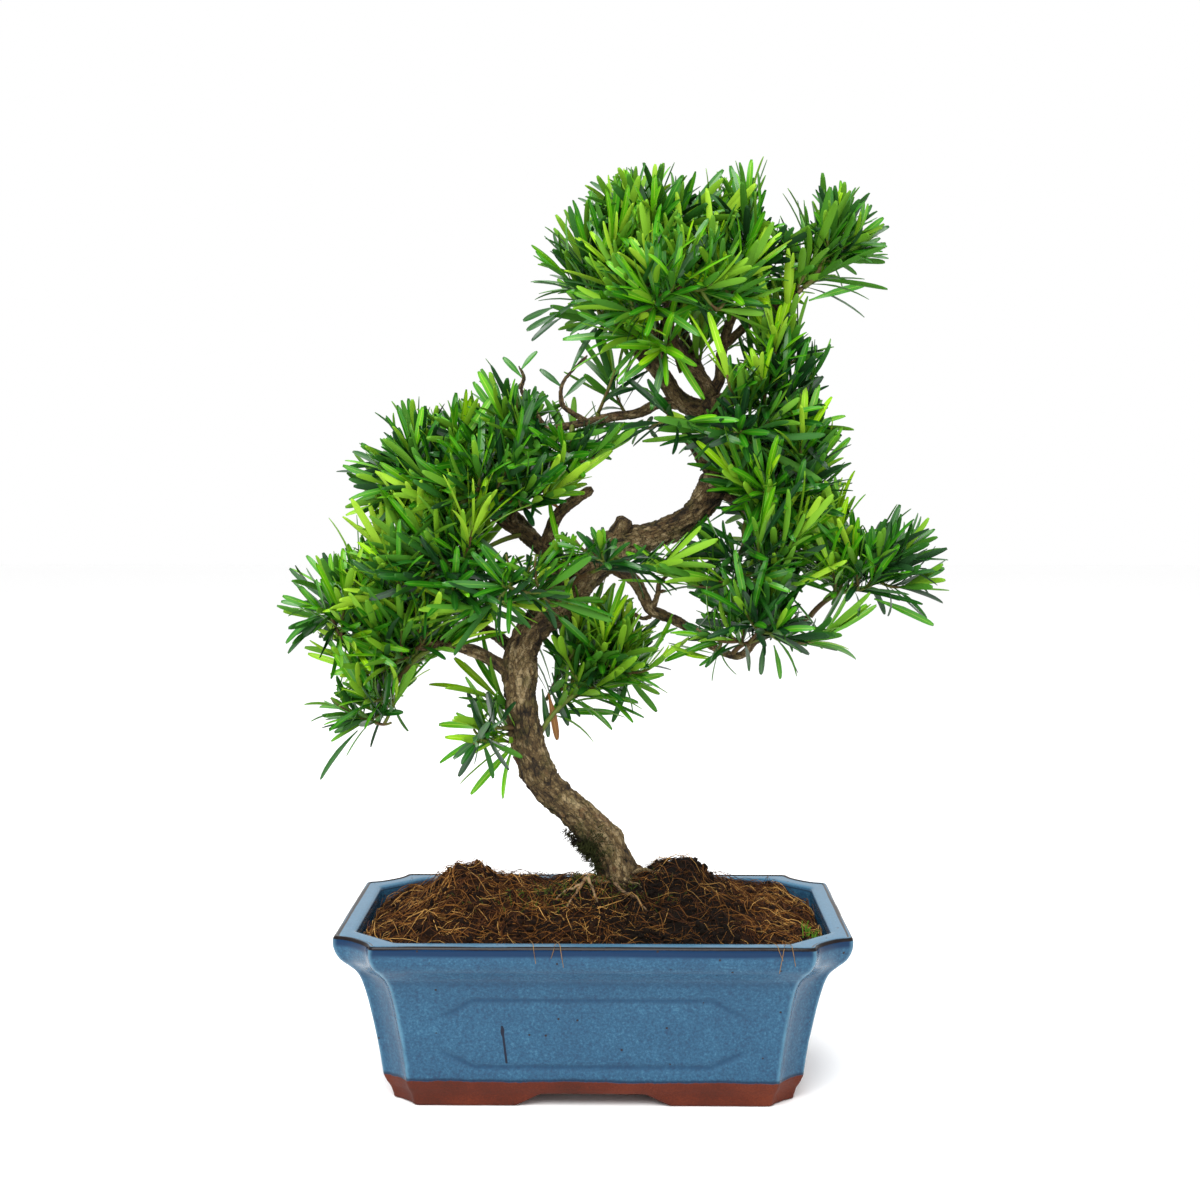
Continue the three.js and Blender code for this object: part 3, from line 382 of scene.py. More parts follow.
def frames_along(path):
    """Tangents of a path and two directions across it, which turn as little as they can."""
    tangents = unit(np.gradient(path, axis=0))
    across = np.empty_like(path)
    across[0] = unit(np.cross(tangents[0], SKEW))
    for ring in range(1, len(path)):
        carried = across[ring - 1] - tangents[ring] * (across[ring - 1] @ tangents[ring])
        across[ring] = carried / np.linalg.norm(carried)
    return tangents, across, np.cross(tangents, across)


# ---------------------------------------------------------------- meshes
def grid_quads(rows, columns):
    """Quads of a grid of points, stored row by row, whose last column joins the first."""
    row, column = np.meshgrid(np.arange(rows - 1), np.arange(columns), indexing="ij")
    beside = (column + 1) % columns
    return np.stack([row * columns + column, row * columns + beside,
                     (row + 1) * columns + beside, (row + 1) * columns + column], axis=-1).reshape(-1, 4)


def closed_grid(points):
    """A grid of rings, (rows, columns, 3), closed by a point at each end: points, quads, triangles."""
    rows, columns = points.shape[:2]
    flat = np.vstack([points.reshape(-1, 3), points[0].mean(axis=0), points[-1].mean(axis=0)])
    first, last = rows * columns, rows * columns + 1
    column = np.arange(columns)
    beside = (column + 1) % columns
    lid = np.stack([np.full(columns, first), beside, column], axis=1)
    base = (rows - 1) * columns
    end = np.stack([np.full(columns, last), base + column, base + beside], axis=1)
    return flat, grid_quads(rows, columns), np.vstack([lid, end])


def link_object(name, data):
    """A new object in the scene for a mesh, a lamp or a camera."""
    thing = bpy.data.objects.new(name, data)
    bpy.context.scene.collection.objects.link(thing)
    return thing


def make_piece(name, points, quads, triangles=(), materials=(), slots=None):
    """A mesh object from points in millimetres, at the origin, with its place in its mesh."""
    quads = np.asarray(quads, np.int32).reshape(-1, 4)
    triangles = np.asarray(triangles, np.int32).reshape(-1, 3)
    corners = np.concatenate([quads.ravel(), triangles.ravel()])
    sizes = np.concatenate([np.full(len(quads), 4), np.full(len(triangles), 3)])
    mesh = bpy.data.meshes.new(name)
    mesh.vertices.add(len(points))
    mesh.vertices.foreach_set("co", ((np.asarray(points) + POT_PLACE) * MM).astype(np.float32).ravel())
    mesh.loops.add(len(corners))
    mesh.loops.foreach_set("vertex_index", corners)
    mesh.polygons.add(len(sizes))
    mesh.polygons.foreach_set("loop_start", (np.cumsum(sizes) - sizes).astype(np.int32))
    mesh.polygons.foreach_set("use_smooth", np.ones(len(sizes), bool))
    if slots is not None:
        mesh.polygons.foreach_set("material_index", np.asarray(slots, np.int32))
    mesh.update(calc_edges=True)
    for material in materials:
        mesh.materials.append(material)
    return link_object(name, mesh)


def set_attribute(piece, name, values):
    """A number or a vector for each point of the mesh, which its material reads by name."""
    values = np.asarray(values, np.float32)
    vectors = values.ndim == 2
    layer = piece.data.attributes.new(name, "FLOAT_VECTOR" if vectors else "FLOAT", "POINT")
    layer.data.foreach_set("vector" if vectors else "value", values.ravel())


def tubes(paths, radii, sides):
    """Many closed tubes at once: round each point of a path lies a circle of its radius, square to the path.
    Paths is (tubes, rings, 3), radii is (tubes, rings)."""
    count, rings = paths.shape[:2]
    tangents = unit(np.gradient(paths, axis=1))
    across = unit(np.cross(tangents, SKEW))
    other = np.cross(tangents, across)
    turn = np.arange(sides) / sides * 2 * np.pi
    points = (paths[:, :, None] + radii[:, :, None, None] * (
        np.cos(turn)[:, None] * across[:, :, None] + np.sin(turn)[:, None] * other[:, :, None]))
    start = np.arange(count)[:, None, None] * rings * sides
    quads = grid_quads(rings, sides) + start
    fan = np.arange(1, sides - 1)
    lids = np.concatenate([np.stack([0 * fan, fan + 1, fan], axis=1),
                           np.stack([0 * fan, fan, fan + 1], axis=1) + (rings - 1) * sides]) + start
    return points.reshape(-1, 3), quads.reshape(-1, 4), lids.reshape(-1, 3)


def join_shapes(shapes):
    """Several (points, quads, triangles) as one."""
    points, quads, triangles, start = [], [], [], 0
    for shape_points, shape_quads, shape_triangles in shapes:
        points.append(shape_points)
        quads.append(shape_quads + start)
        triangles.append(shape_triangles + start)
        start += len(shape_points)
    return np.vstack(points), np.vstack(quads), np.vstack(triangles)


# ---------------------------------------------------------------- materials
class Value:
    """One output of a shader node. Arithmetic on it adds Math nodes to its material."""

    def __init__(self, look, socket):
        self.look, self.socket = look, socket

    def maths(self, operation, *others):
        """A Math node on this value and others."""
        sockets = dict(enumerate((self, *others)))
        return self.look.node("ShaderNodeMath", {"operation": operation}, sockets)

    def __add__(self, other):
        return self.maths("ADD", other)

    def __sub__(self, other):
        return self.maths("SUBTRACT", other)

    def __rsub__(self, other):
        return (self * -1) + other

    def __mul__(self, other):
        return self.maths("MULTIPLY", other)

    def __abs__(self):
        return self.maths("ABSOLUTE")

    def step(self, low, high):
        """0 below low, 1 above high, and a smooth step between. High may be the lower one."""
        sockets = {"Value": self, "From Min": low, "From Max": high}
        return self.look.node("ShaderNodeMapRange", {"interpolation_type": "SMOOTHSTEP"}, sockets)

    __radd__, __rmul__ = __add__, __mul__


MIX_FIRST, MIX_SECOND, MIX_RESULT = 6, 7, 2  # a Mix node's sockets for colours, by number


def opaque(colour):
    """A socket's value for a colour, which may be the output of a node already."""
    return colour if isinstance(colour, Value) else (*colour, 1)


class Look:
    """A material whose shader is written as expressions."""

    def __init__(self, name):
        self.material = bpy.data.materials.new(name)
        self.material.use_nodes = True
        self.tree = self.material.node_tree
        self.tree.nodes.clear()
        self.place = self.node("ShaderNodeTexCoord", {}, {}, "Object")

    def node(self, kind, settings, sockets, output=0):
        """Any node: its type, its settings, the values or links of its sockets, and the output taken."""
        node = self.tree.nodes.new(kind)
        for name, setting in settings.items():
            if name == "stops":
                ramp = node.color_ramp.elements
                while len(ramp) < len(setting):
                    ramp.new(0.5)
                for stop, (at, colour) in zip(ramp, setting):
                    stop.position, stop.color = at, (*colour, 1)
            else:
                setattr(node, name, setting)
        for name, given in sockets.items():
            if isinstance(given, Value):
                self.tree.links.new(given.socket, node.inputs[name])
            else:
                node.inputs[name].default_value = given
        return Value(self, node.outputs[output])

    def axes(self):
        """The Object coordinates along x, y and z, in metres."""
        return tuple(self.node("ShaderNodeSeparateXYZ", {}, {0: self.place}, axis) for axis in "XYZ")

    def attribute(self, name, output="Fac"):
        """What set_attribute gave the mesh under a name."""
        return self.node("ShaderNodeAttribute", {"attribute_name": name}, {}, output)

    def stretched(self, x, y, z):
        """Object coordinates stretched along each axis, which draws a pattern out or together."""
        return self.node("ShaderNodeMapping", {}, {"Vector": self.place, "Scale": (x, y, z)})

    def noise(self, size_mm, detail=3.0, roughness=0.55, place=None, warp=0.0):
        """Cloudy noise round 0.5, with features of about a size."""
        sockets = {"Vector": place or self.place, "Scale": 1 / (size_mm * MM), "Detail": detail,
                   "Roughness": roughness, "Distortion": warp}
        return self.node("ShaderNodeTexNoise", {}, sockets, "Fac")

    def cells(self, size_mm, output="Distance", feature="F1", place=None):
        """Random cells of about a size: the distance to the nearest one's middle or edge, or its colour."""
        sockets = {"Vector": place or self.place, "Scale": 1 / (size_mm * MM)}
        return self.node("ShaderNodeTexVoronoi", {"feature": feature}, sockets, output)

    def part(self, colour, number):
        """One part of a colour: 0 for red, 1 for green."""
        return self.node("ShaderNodeSeparateColor", {}, {0: colour}, number)

    def blend(self, first, second, share):
        """From the first colour to the second as share goes from 0 to 1."""
        sockets = {0: share, MIX_FIRST: opaque(first), MIX_SECOND: opaque(second)}
        return self.node("ShaderNodeMix", {"data_type": "RGBA"}, sockets, MIX_RESULT)

    def ramp(self, value, stops):
        """Colours blended between stops, each a value and its colour."""
        return self.node("ShaderNodeValToRGB", {"stops": stops}, {"Fac": value}, "Color")

    def finish(self, colour, roughness, relief=None, relief_mm=0.0, shine=0.5):
        """The material, from its colour, its roughness, its relief and how high that is, and its shine."""
        sockets = {"Base Color": opaque(colour), "Roughness": roughness, "Specular IOR Level": shine}
        if relief is not None:
            sockets["Normal"] = self.node("ShaderNodeBump", {}, {
                "Height": relief, "Distance": relief_mm * MM, "Strength": 1.0}, "Normal")
        shader = self.node("ShaderNodeBsdfPrincipled", {}, sockets, "BSDF")
        output = self.tree.nodes.new("ShaderNodeOutputMaterial")
        self.tree.links.new(shader.socket, output.inputs["Surface"])
        return self.material


def glaze_look(sizes):
    """Mottled blue glaze, deep where it pools and pale where the glaze thins, over bare brown clay, with
    painted highlights along the corner ridges and on the rim's top.
    """
    look = Look("blue_glaze")
    x, y, z = look.axes()
    mottle = look.noise(1.5, 4, 0.72)
    cloud = look.noise(34, 2, 0.5)
    streaks = look.noise(4, 3, 0.6, place=look.stretched(1, 1, 0.4))
    tone = mottle * 0.72 + cloud * 0.12 + streaks * 0.16
    glaze = look.ramp(tone, [(0.36, linear(34, 56, 82)), (0.47, tuple(sizes.glaze_colour)),
                             (0.56, linear(42, 80, 106)), (0.68, linear(60, 102, 126))])
    pooled = look.attribute("pooled")
    glaze = look.blend(glaze, tuple(sizes.pooled_colour), (pooled * (mottle * 0.9 + 0.5)).step(0.05, 1.0))
    # Painted highlight: a paler blue along the corner ridges, joined with the real thinning of the glaze over
    # the waist and on the inner rim's top.
    thin = look.attribute("thin")
    glaze = look.blend(glaze, linear(90, 138, 160), (thin * (streaks + 0.45)).step(0.25, 1.15) * 0.5)
    # Painted highlight: the top of the rim made a lighter blue.
    crest_highlight = z.step((RIM_HEIGHT - 1.6) * MM, (RIM_HEIGHT - 0.6) * MM)
    glaze = look.blend(glaze, linear(84, 132, 160), crest_highlight * 0.4)
    bare = look.attribute("bare")
    edge = (bare + (mottle - 0.5) * 0.35).step(0.42, 0.72)
    glaze = look.blend(glaze, linear(16, 9, 10), edge)

    pinhole = look.cells(9.0).step(0.095, 0.06) * look.part(look.cells(9.0, "Color"), 0).step(0.6, 0.61)
    glaze = look.blend(glaze, linear(34, 30, 34), pinhole)
    speck = look.cells(13.0).step(0.06, 0.035) * look.part(look.cells(13.0, "Color"), 1).step(0.8, 0.81)
    glaze = look.blend(glaze, linear(120, 84, 60), speck)
    run_x, run_top, run_bottom = (RUN_PLACE + POT_PLACE[0]) * MM, RUN_TOP * MM, RUN_BOTTOM * MM
    front = y.step(-0.05, -0.06)
    run = (abs(x - (run_top - z) * 0.1 - run_x).step(0.0009, 0.0004) * z.step(run_bottom, run_bottom + MM)
           * z.step(run_top + MM, run_top) * front)
    blob_x, blob_z = x - run_x - 0.0002, z - run_top + 0.003
    blob = (blob_x * blob_x * 3 + blob_z * blob_z * 0.45).step(5e-6, 2.6e-6) * front
    glaze = look.blend(glaze, linear(20, 26, 40), (run * (mottle + 0.6) + blob).step(0.2, 0.8))

    grain = look.noise(0.9, 4, 0.65)
    clay = look.ramp(grain * 0.5 + cloud * 0.5, [(0.3, linear(54, 24, 14)), (0.5, tuple(sizes.clay_colour)),
                                                 (0.7, linear(104, 46, 24))])
    shore = (z + (cloud - 0.5) * 0.004 + (streaks - 0.5) * 0.0016).step(
        (BAND_HEIGHT + 0.5) * MM, (BAND_HEIGHT - 0.1) * MM)
    colour = look.blend(glaze, clay, shore)
    lip = (z + (cloud - 0.5) * 0.004).step((BAND_HEIGHT + 2.8) * MM, (BAND_HEIGHT + 0.7) * MM) * (1 - shore)
    colour = look.blend(colour, linear(10, 24, 46), lip * 0.8)
    roughness = shore * 0.42 + mottle * 0.12 + 0.14
    relief = mottle * 0.16 + streaks * 0.3 + shore * grain * 0.5 - pinhole * 0.9
    return look.finish(colour, roughness, relief, 0.22, shine=0.16)


def from_dark_patch(look):
    """How far along x a place lies from the middle of the bed's darker patch, in metres."""
    x, _, _ = look.axes()
    return x - (DARK_PATCH_MIDDLE + POT_PLACE[0]) * MM


def soil_look():
    """Dark peat with brown fibre dust, darker still in a patch along x."""
    look = Look("peat")
    lumps, dust = look.noise(9, 4, 0.6), look.noise(1.6, 5, 0.7)
    colour = look.ramp(lumps * 0.5 + dust * 0.5, [(0.34, linear(8, 5, 3)), (0.48, linear(22, 12, 7)),
                                                  (0.6, linear(44, 25, 11)), (0.74, linear(80, 48, 21))])
    # The bed is made darker along x round the middle of its darker patch.
    darker_patch = abs(from_dark_patch(look) + (lumps - 0.5) * 0.03).step(0.042, 0.024)
    colour = look.blend(colour, linear(12, 9, 6), darker_patch * 0.8)
    return look.finish(colour, 0.95, lumps * 0.6 + dust, 1.2, shine=0.1)


def fibre_look(name, colour):
    """Dry coir of one colour, paler and darker in short stretches, and darker near the bed's darker patch."""
    look = Look(name)
    stretch = look.noise(6, 3, 0.6)
    dark = tuple(0.42 * part for part in colour)
    # Fibres are made darker near the bed's darker patch.
    darker_patch = abs(from_dark_patch(look)).step(0.05, 0.03) * 0.55
    shade = look.blend(dark, colour, stretch.step(0.3, 0.62) * (1 - darker_patch))
    return look.finish(shade, 0.8, look.noise(0.7, 2), 0.08, shine=0.15)


def bark_look(sizes):
    """Grey-brown flaky bark: small plates with dark cracks between them, pale where they wore off, with moss
    and algae. Its pattern follows each limb by the attribute flow."""
    look = Look("bark")
    height, flow = look.attribute("height"), look.attribute("flow", "Vector")
    grain = look.noise(0.55, 5, 0.75, place=flow)
    patch = look.noise(2.6, 5, 0.7, place=flow)
    warp = look.node("ShaderNodeVectorMath", {"operation": "MULTIPLY_ADD"}, {
        0: look.node("ShaderNodeTexNoise", {}, {"Vector": flow, "Scale": 520.0, "Detail": 4.0}, "Color"),
        1: (0.002, 0.002, 0.002), 2: flow}, "Vector")
    crack = look.cells(2.0, "Distance", "DISTANCE_TO_EDGE", warp).step(0.07, 0.0)
    shade = look.part(look.cells(2.0, "Color", place=warp), 0)
    tone = height * 0.16 + patch * 0.36 + grain * 0.42 + shade * 0.1
    colour = look.ramp(tone, [(0.36, linear(34, 25, 13)), (0.46, linear(74, 58, 34)),
                              (0.54, tuple(sizes.bark_colour)), (0.66, linear(150, 132, 98))])
    algae = look.noise(13, 3, 0.6).step(0.5, 0.64) * 0.5
    colour = look.blend(colour, linear(60, 62, 22), algae * (grain + 0.3))
    red = look.noise(10, 3, 0.6, warp=0.4).step(0.58, 0.7) * 0.4
    colour = look.blend(colour, linear(90, 54, 30), red)
    moss = look.attribute("moss")
    colour = look.blend(colour, linear(24, 26, 10), (moss * (grain * 1.5 + 0.3)).step(0.35, 0.85))
    fissure = height.step(0.22, 0.06) * 0.75 + crack * patch.step(0.62, 0.45) * 0.7
    colour = look.blend(colour, linear(22, 16, 10), fissure * 0.85)
    relief = patch * 0.6 + grain * 0.6 + shade * 0.3 - crack * 0.6
    return look.finish(colour, 0.85, relief, 1.3, shine=0.3)


def twig_look(sizes):
    """Green young wood that browns in patches."""
    look = Look("twig")
    brown = look.noise(14, 3, 0.5)
    colour = look.blend(tuple(sizes.twig_colour), linear(78, 58, 32), brown.step(0.42, 0.62))
    return look.finish(colour, 0.6, look.noise(1.2, 3), 0.15, shine=0.25)


def leaf_look(name, colour, roughness, shine):
    """Leathery leaf of one plain colour."""
    return Look(name).finish(colour, roughness, shine=shine)


# ---------------------------------------------------------------- pot
def plan_ring():
    """Where each column of the pot's plan lies: its quarter, whether it is on a cut corner, its share."""
    quarter_columns = []
    for quarter in range(4):
        corner = np.linspace(0, 1, CORNER_COLUMNS)
        side = np.linspace(1, -1, (SHORT_STEPS if quarter % 2 else LONG_STEPS) + 1)[1:-1]
        for on_corner, shares in ((1, corner), (0, side)):
            quarter_columns.append(np.stack([0 * shares + quarter, 0 * shares + on_corner, shares], axis=1))
    return np.vstack(quarter_columns)


def plan_points(ring, half, cut, dip):
    """The plan at each level: a rectangle with cut corners, each cut hollowed by the dip."""
    quarter, corner, share = ring[:, 0].astype(int), ring[:, 1] > 0, ring[:, 2]
    sign_x = np.array([1, -1, -1, 1])[quarter]
    sign_y = np.array([1, 1, -1, -1])[quarter]
    forward = quarter % 2 == 0
    along = np.where(forward, share, 1 - share)
    hollow = dip[:, None] * (1 - np.abs(2 * along - 1) ** 3) / math.sqrt(2)
    half_x, half_y, cut = half[:, :1], half[:, 1:], cut[:, None]
    corner_x = sign_x * (half_x - cut * along - hollow)
    corner_y = sign_y * (half_y - cut * (1 - along) - hollow)
    side_x = np.where(forward, sign_x * (half_x - cut) * share, sign_x * half_x)
    side_y = np.where(forward, sign_y * half_y, sign_y * (half_y - cut) * share)
    return np.where(corner, corner_x, side_x), np.where(corner, corner_y, side_y)


def soften(columns):
    """Rounds a ring's corners by averaging each column with its neighbours, twice."""
    for _ in range(2):
        columns = columns / 2 + (np.roll(columns, 1, axis=-1) + np.roll(columns, -1, axis=-1)) / 4
    return columns


def pot_levels():
    """The pot's section from the middle of its inner floor, over the rim and under the foot to the middle
    of its underside, as height, inset, and share of the outer plan's shape."""
    outer, _ = fine_curve(POT_PROFILE[2:12], 70)
    lip, _ = fine_curve([(101.4, 3.2), (102, 2.2), (101.5, 1), (100.2, 0.35), (97.5, 0.2), (95, 0.4)], 14)
    foot, _ = fine_curve([*POT_PROFILE[11:14], (2.2, 31.9)], 14)
    inner_top = [(96, RIM_WIDTH), (99.5, RIM_WIDTH - 0.1), (101.2, RIM_WIDTH - 0.8), (101.7, RIM_WIDTH - 2.2)]
    heights = np.linspace(FLOOR + 5, 90, 12)
    insets = np.interp(heights, *np.array(POT_PROFILE[::-1]).T) + WALL
    rows = [(FLOOR, 80, 0), (FLOOR, 52, 0), (FLOOR + 1, 42, 0)]
    rows += [(height, inset, 0) for height, inset in zip(heights, insets)]
    rows += [(height, inset, 0) for height, inset in inner_top]
    rows += [(101.6, mixed, share) for mixed, share in ((8.0, 0.3), (5.6, 0.6), (4.2, 0.85))]
    rows += [(height, inset, 1) for height, inset in (*lip, *outer[1:], *foot[1:])]
    foot_end = FOOT_INSET + FOOT_WIDTH
    rows += [(0.7, FOOT_INSET - 0.3, 1), (0, FOOT_INSET + 0.7, 1), (0, 38, 1), (0, foot_end - 0.8, 1),
             (0.8, foot_end, 1), (FOOT_HEIGHT - 1, foot_end + 0.5, 1), (FOOT_HEIGHT, 50, 1),
             (FOOT_HEIGHT, 62, 1), (FOOT_HEIGHT, 84, 1)]
    return np.array(rows, float)


def bell(distance, width):
    """1 at no distance, falling off like a bell to 0.37 at the width."""
    return np.exp(-(distance / width) ** 2)


def line_distance(x, z, start, end):
    """Distance in a face's plane from each point to a line from start to end, and the share along it."""
    run, rise = end[0] - start[0], end[1] - start[1]
    share = np.clip(((x - start[0]) * run + (z - start[1]) * rise) / (run ** 2 + rise ** 2), 0, 1)
    return np.hypot(x - start[0] - share * run, z - start[1] - share * rise), share


def ornament(across, z):
    """Depth, from 0 to 1, of the ornament line pressed into a side: a bell curve of the distance to the
    nearest of its stretches, fainter towards its slanted ends."""
    depth = np.zeros(np.broadcast(across, z).shape)
    for number, (start, end) in enumerate(PANEL_LINES):
        distance, share = line_distance(np.abs(across), z, start, end)
        ending = number % 3 == 2
        depth = np.maximum(depth, bell(distance, GROOVE_WIDTH) * (1 - 0.85 * share if ending else 1))
    return depth


def pot_shape(sizes):
    """The pot's grid: the section's levels carried round the plan, with the ornament pressed in, the faces
    slightly wavy and the foot's gaps raised. And for each point, how deep the glaze pools, how far it thins
    with painted highlights on the corner ridges added in, and how bare."""
    ring, levels = plan_ring(), pot_levels()
    z, inset, outerness = levels.T
    cut = INNER_CUT + (CORNER_CUT - 2.2 - inset * 0.3 - INNER_CUT) * outerness
    dip = CORNER_DIP * (1 - inset / 45) * outerness
    x, y = plan_points(ring, POT_HALF - inset[:, None], cut, np.maximum(dip, 0))
    x, y = soften(x), soften(y)
    height = np.repeat(z[:, None], len(ring), axis=1)
    outside = (outerness == 1)[:, None] & (height > 14)

    long_side = (ring[:, 1] == 0) & (ring[:, 0] % 2 == 0)
    short_side = (ring[:, 1] == 0) & (ring[:, 0] % 2 == 1)
    groove = np.where(long_side & outside, ornament(x, height), 0)
    groove = np.where(short_side & outside, ornament(y * END_SCALE, height), groove)
    place = np.stack([x, y, height], axis=-1)
    wave = soft_noise(place, 26, 3) * 0.22 + soft_noise(place, 9, 5) * 0.1
    bulge = wave * (outerness > 0)[:, None]
    outward = unit(np.stack([x / POT_HALF[0] ** 2, y / POT_HALF[1] ** 2], axis=-1))
    depth = groove * sizes.groove_depth / MM
    x = x + outward[..., 0] * bulge - np.sign(x) * depth * short_side
    y = y + outward[..., 1] * bulge - np.sign(y) * depth * long_side

    across_long = np.abs(y) > np.abs(x) * 0.62
    sides = ((np.abs(x), across_long), (np.abs(y), ~across_long))
    for (top, bottom), (across, on_side) in zip(FOOT_GAPS, sides):
        rise = np.clip((bottom - across) / (bottom - top), 0, 1) * FOOT_HEIGHT
        height = np.where(on_side & (height < FOOT_HEIGHT), np.maximum(height, rise), height)

    from_edge = np.where(ring[:, 1] > 0, 36 * np.minimum(ring[:, 2], 1 - ring[:, 2]),
                         np.where(long_side, 124, 70) * (1 - np.abs(ring[:, 2])))
    # Painted highlight: a pale band along each corner ridge, where a side meets its cut corner.
    ridge_highlight = bell(from_edge, 2.6)
    lip_line = bell(height - LIP_LINE + soft_noise(place, 30, 8) * 0.35, 1.15) * outside
    below_lip = bell(height - LIP_POOL, 2.7) * outside * (1 + 0.35 * soft_noise(place, 40, 9))
    inner_line = bell(height - INNER_LINE, 0.7) * (outerness == 0)[:, None]
    waist = bell(height - WAIST_POOL, 3.4) * 0.4 * outside
    pooled = np.clip(groove * 0.55 + below_lip * 1.4 + waist + inner_line * 0.3, 0, 1.3)
    thin = np.clip(ridge_highlight * outside + bell(height - WAIST_THIN, 2.4) * 0.3 * outside
                   + (outerness < 1)[:, None] * (height > 100.5) * 0.35, 0, 1)
    bare = np.clip(lip_line * 1.05 + inner_line * 0.62, 0, 1.2)
    return np.stack([x, y, height], axis=-1), pooled, thin, bare


def make_pot(sizes):
    """The glazed pot, with two holes drilled through its floor."""
    points, pooled, thin, bare = pot_shape(sizes)
    flat, quads, triangles = closed_grid(points)
    pot = make_piece("glazed_pot", flat, quads[:, ::-1], triangles[:, ::-1], [glaze_look(sizes)])
    for name, values in (("pooled", pooled), ("thin", thin), ("bare", bare)):
        set_attribute(pot, name, np.append(values.ravel(), [0, 0]))
    turn = np.linspace(0, 2 * np.pi, DRAIN_SIDES, endpoint=False)
    circle = np.stack([np.cos(turn) * DRAIN_RADIUS, np.sin(turn) * DRAIN_RADIUS, 0 * turn], axis=1)
    for side in (-1, 1):
        column = np.stack([circle + (side * DRAIN_PLACE, 0, z) for z in (-4.0, FLOOR + 4)])
        drill = make_piece("drill", *closed_grid(column))
        hole = pot.modifiers.new("drain", "BOOLEAN")
        hole.operation, hole.solver, hole.object = "DIFFERENCE", "MANIFOLD", drill
        apply_modifiers(pot)
        bpy.data.objects.remove(drill)
    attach(pot, "root")
    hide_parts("pot")


def apply_modifiers(piece):
    """Makes what the piece's modifiers show its own mesh."""
    graph = bpy.context.evaluated_depsgraph_get()
    mesh = bpy.data.meshes.new_from_object(piece.evaluated_get(graph), depsgraph=graph)
    piece.modifiers.clear()
    piece.data = mesh


# ---------------------------------------------------------------- soil
def soil_height(x, y):
    """The bed's height: a dome that falls to the walls, mounds on it, and lumps."""
    across = np.maximum(np.abs(x) / (POT_HALF[0] - RIM_WIDTH), np.abs(y) / (POT_HALF[1] - RIM_WIDTH))
    across = np.minimum(across, 1)
    mound = sum(height * np.exp(-((x - mx) / wide) ** 2 - ((y - my) / deep) ** 2)
                for mx, my, height, wide, deep in SOIL_MOUNDS)
    place = np.stack(np.broadcast_arrays(x, y, 0 * x), axis=-1)
    lumps = rough_noise(place, 12, 4, 11) * 3.5 + np.abs(rough_noise(place, 24, 2, 17)) * 1.6
    return (SOIL_EDGE + SOIL_CROWN * (1 - across ** 2.4) + mound * (1 - across ** 6)
            + lumps * (1 - 0.7 * across ** 8) - 2.4)


def make_soil(sizes):
    """A bed that fills the pot's inside, as rings of its plan that shrink towards the middle."""
    ring = plan_ring()
    shares = np.linspace(0.02, 1, 96)
    inset = RIM_WIDTH + 0.6
    half = (POT_HALF - inset) * shares[:, None]
    x, y = plan_points(ring, half, INNER_CUT * shares, 0 * shares)
    top = np.stack([x, y, soil_height(x, y)], axis=-1)
    depths = np.array([86, 74, 60, 36, 22, FLOOR + 0.5])
    walls = np.interp(depths, *np.array(POT_PROFILE[::-1]).T) + WALL + 0.6
    x, y = plan_points(ring, POT_HALF - walls[:, None], INNER_CUT + 0 * depths, 0 * depths)
    side = np.stack([x, y, np.repeat(depths[:, None], len(ring), axis=1)], axis=-1)
    flat, quads, triangles = closed_grid(np.concatenate([top, side]))
    soil = make_piece("soil_bed", flat, quads[:, ::-1], triangles[:, ::-1], [soil_look()])
    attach(soil, "root")
    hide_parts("soil")

    draws = np.random.default_rng(SEED)
    kinds = [("straw", linear(196, 150, 82), 0.09), ("tan", linear(134, 88, 38), 0.26),
             ("brown", linear(76, 42, 15), 0.36), ("dark", linear(26, 15, 8), 0.29)]
    for name, colour, share in kinds:
        fibres = fibre_paths(draws, int(sizes.fibres * share), dark=name == "dark")
        radii = draws.uniform(0.1, 0.25, len(fibres))[:, None] * np.array([0.7, 1, 1, 1, 0.9, 0.4])
        piece = make_piece(f"fibre_{name}", *tubes(fibres, radii, 3), [fibre_look(f"coir_{name}", colour)])
        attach(piece, "root")
    make_crumbs(draws, sizes.crumbs)
    make_strays()


def fibre_paths(draws, count, dark):
    """Curling fibres that lie over the bed, in clumps: each sets out in its own direction, turns as it goes
    and arches a little."""
    half = POT_HALF - RIM_WIDTH - 3
    clumps = draws.uniform(-1, 1, (CLUMPS, 2)) * half
    spread = np.where(draws.random(count) < 0.7, 7.0, 40.0)
    x, y = (clumps[draws.integers(0, CLUMPS, count)] + draws.normal(0, 1, (count, 2)) * spread[:, None]).T
    x, y = np.clip(x, -half[0], half[0]), np.clip(y, -half[1], half[1])
    apart = PARTING + (x - PARTING) * draws.uniform(1, 2.6, count)
    x = np.where(np.abs(x - PARTING) < PARTING_REACH, apart, x)
    if dark:
        x = DARK_SPOT + (x - DARK_SPOT) * 0.4
    heading = draws.uniform(0, 2 * np.pi, count)
    curl = draws.normal(0, 1.5, count)
    length = draws.uniform(8, 34, count)
    arch = draws.uniform(0.2, 1, count) ** 4 * length * 0.26
    share = np.linspace(0, 1, 6)
    turn = heading[:, None] + curl[:, None] * share
    step = length[:, None] / 5
    x = x[:, None] + np.cumsum(np.cos(turn) * step, axis=1)
    y = y[:, None] + np.cumsum(np.sin(turn) * step, axis=1)
    over = np.clip((np.abs(x) + np.abs(y) - (half.sum() - INNER_CUT)) / 2, 0, None)
    x = np.clip(x - np.sign(x) * over, -half[0], half[0])
    y = np.clip(y - np.sign(y) * over, -half[1], half[1])
    lift = arch[:, None] * np.sin(np.pi * share) + draws.uniform(-1.0, 1.0, count)[:, None]
    return np.stack([x, y, soil_height(x, y) + lift], axis=-1)


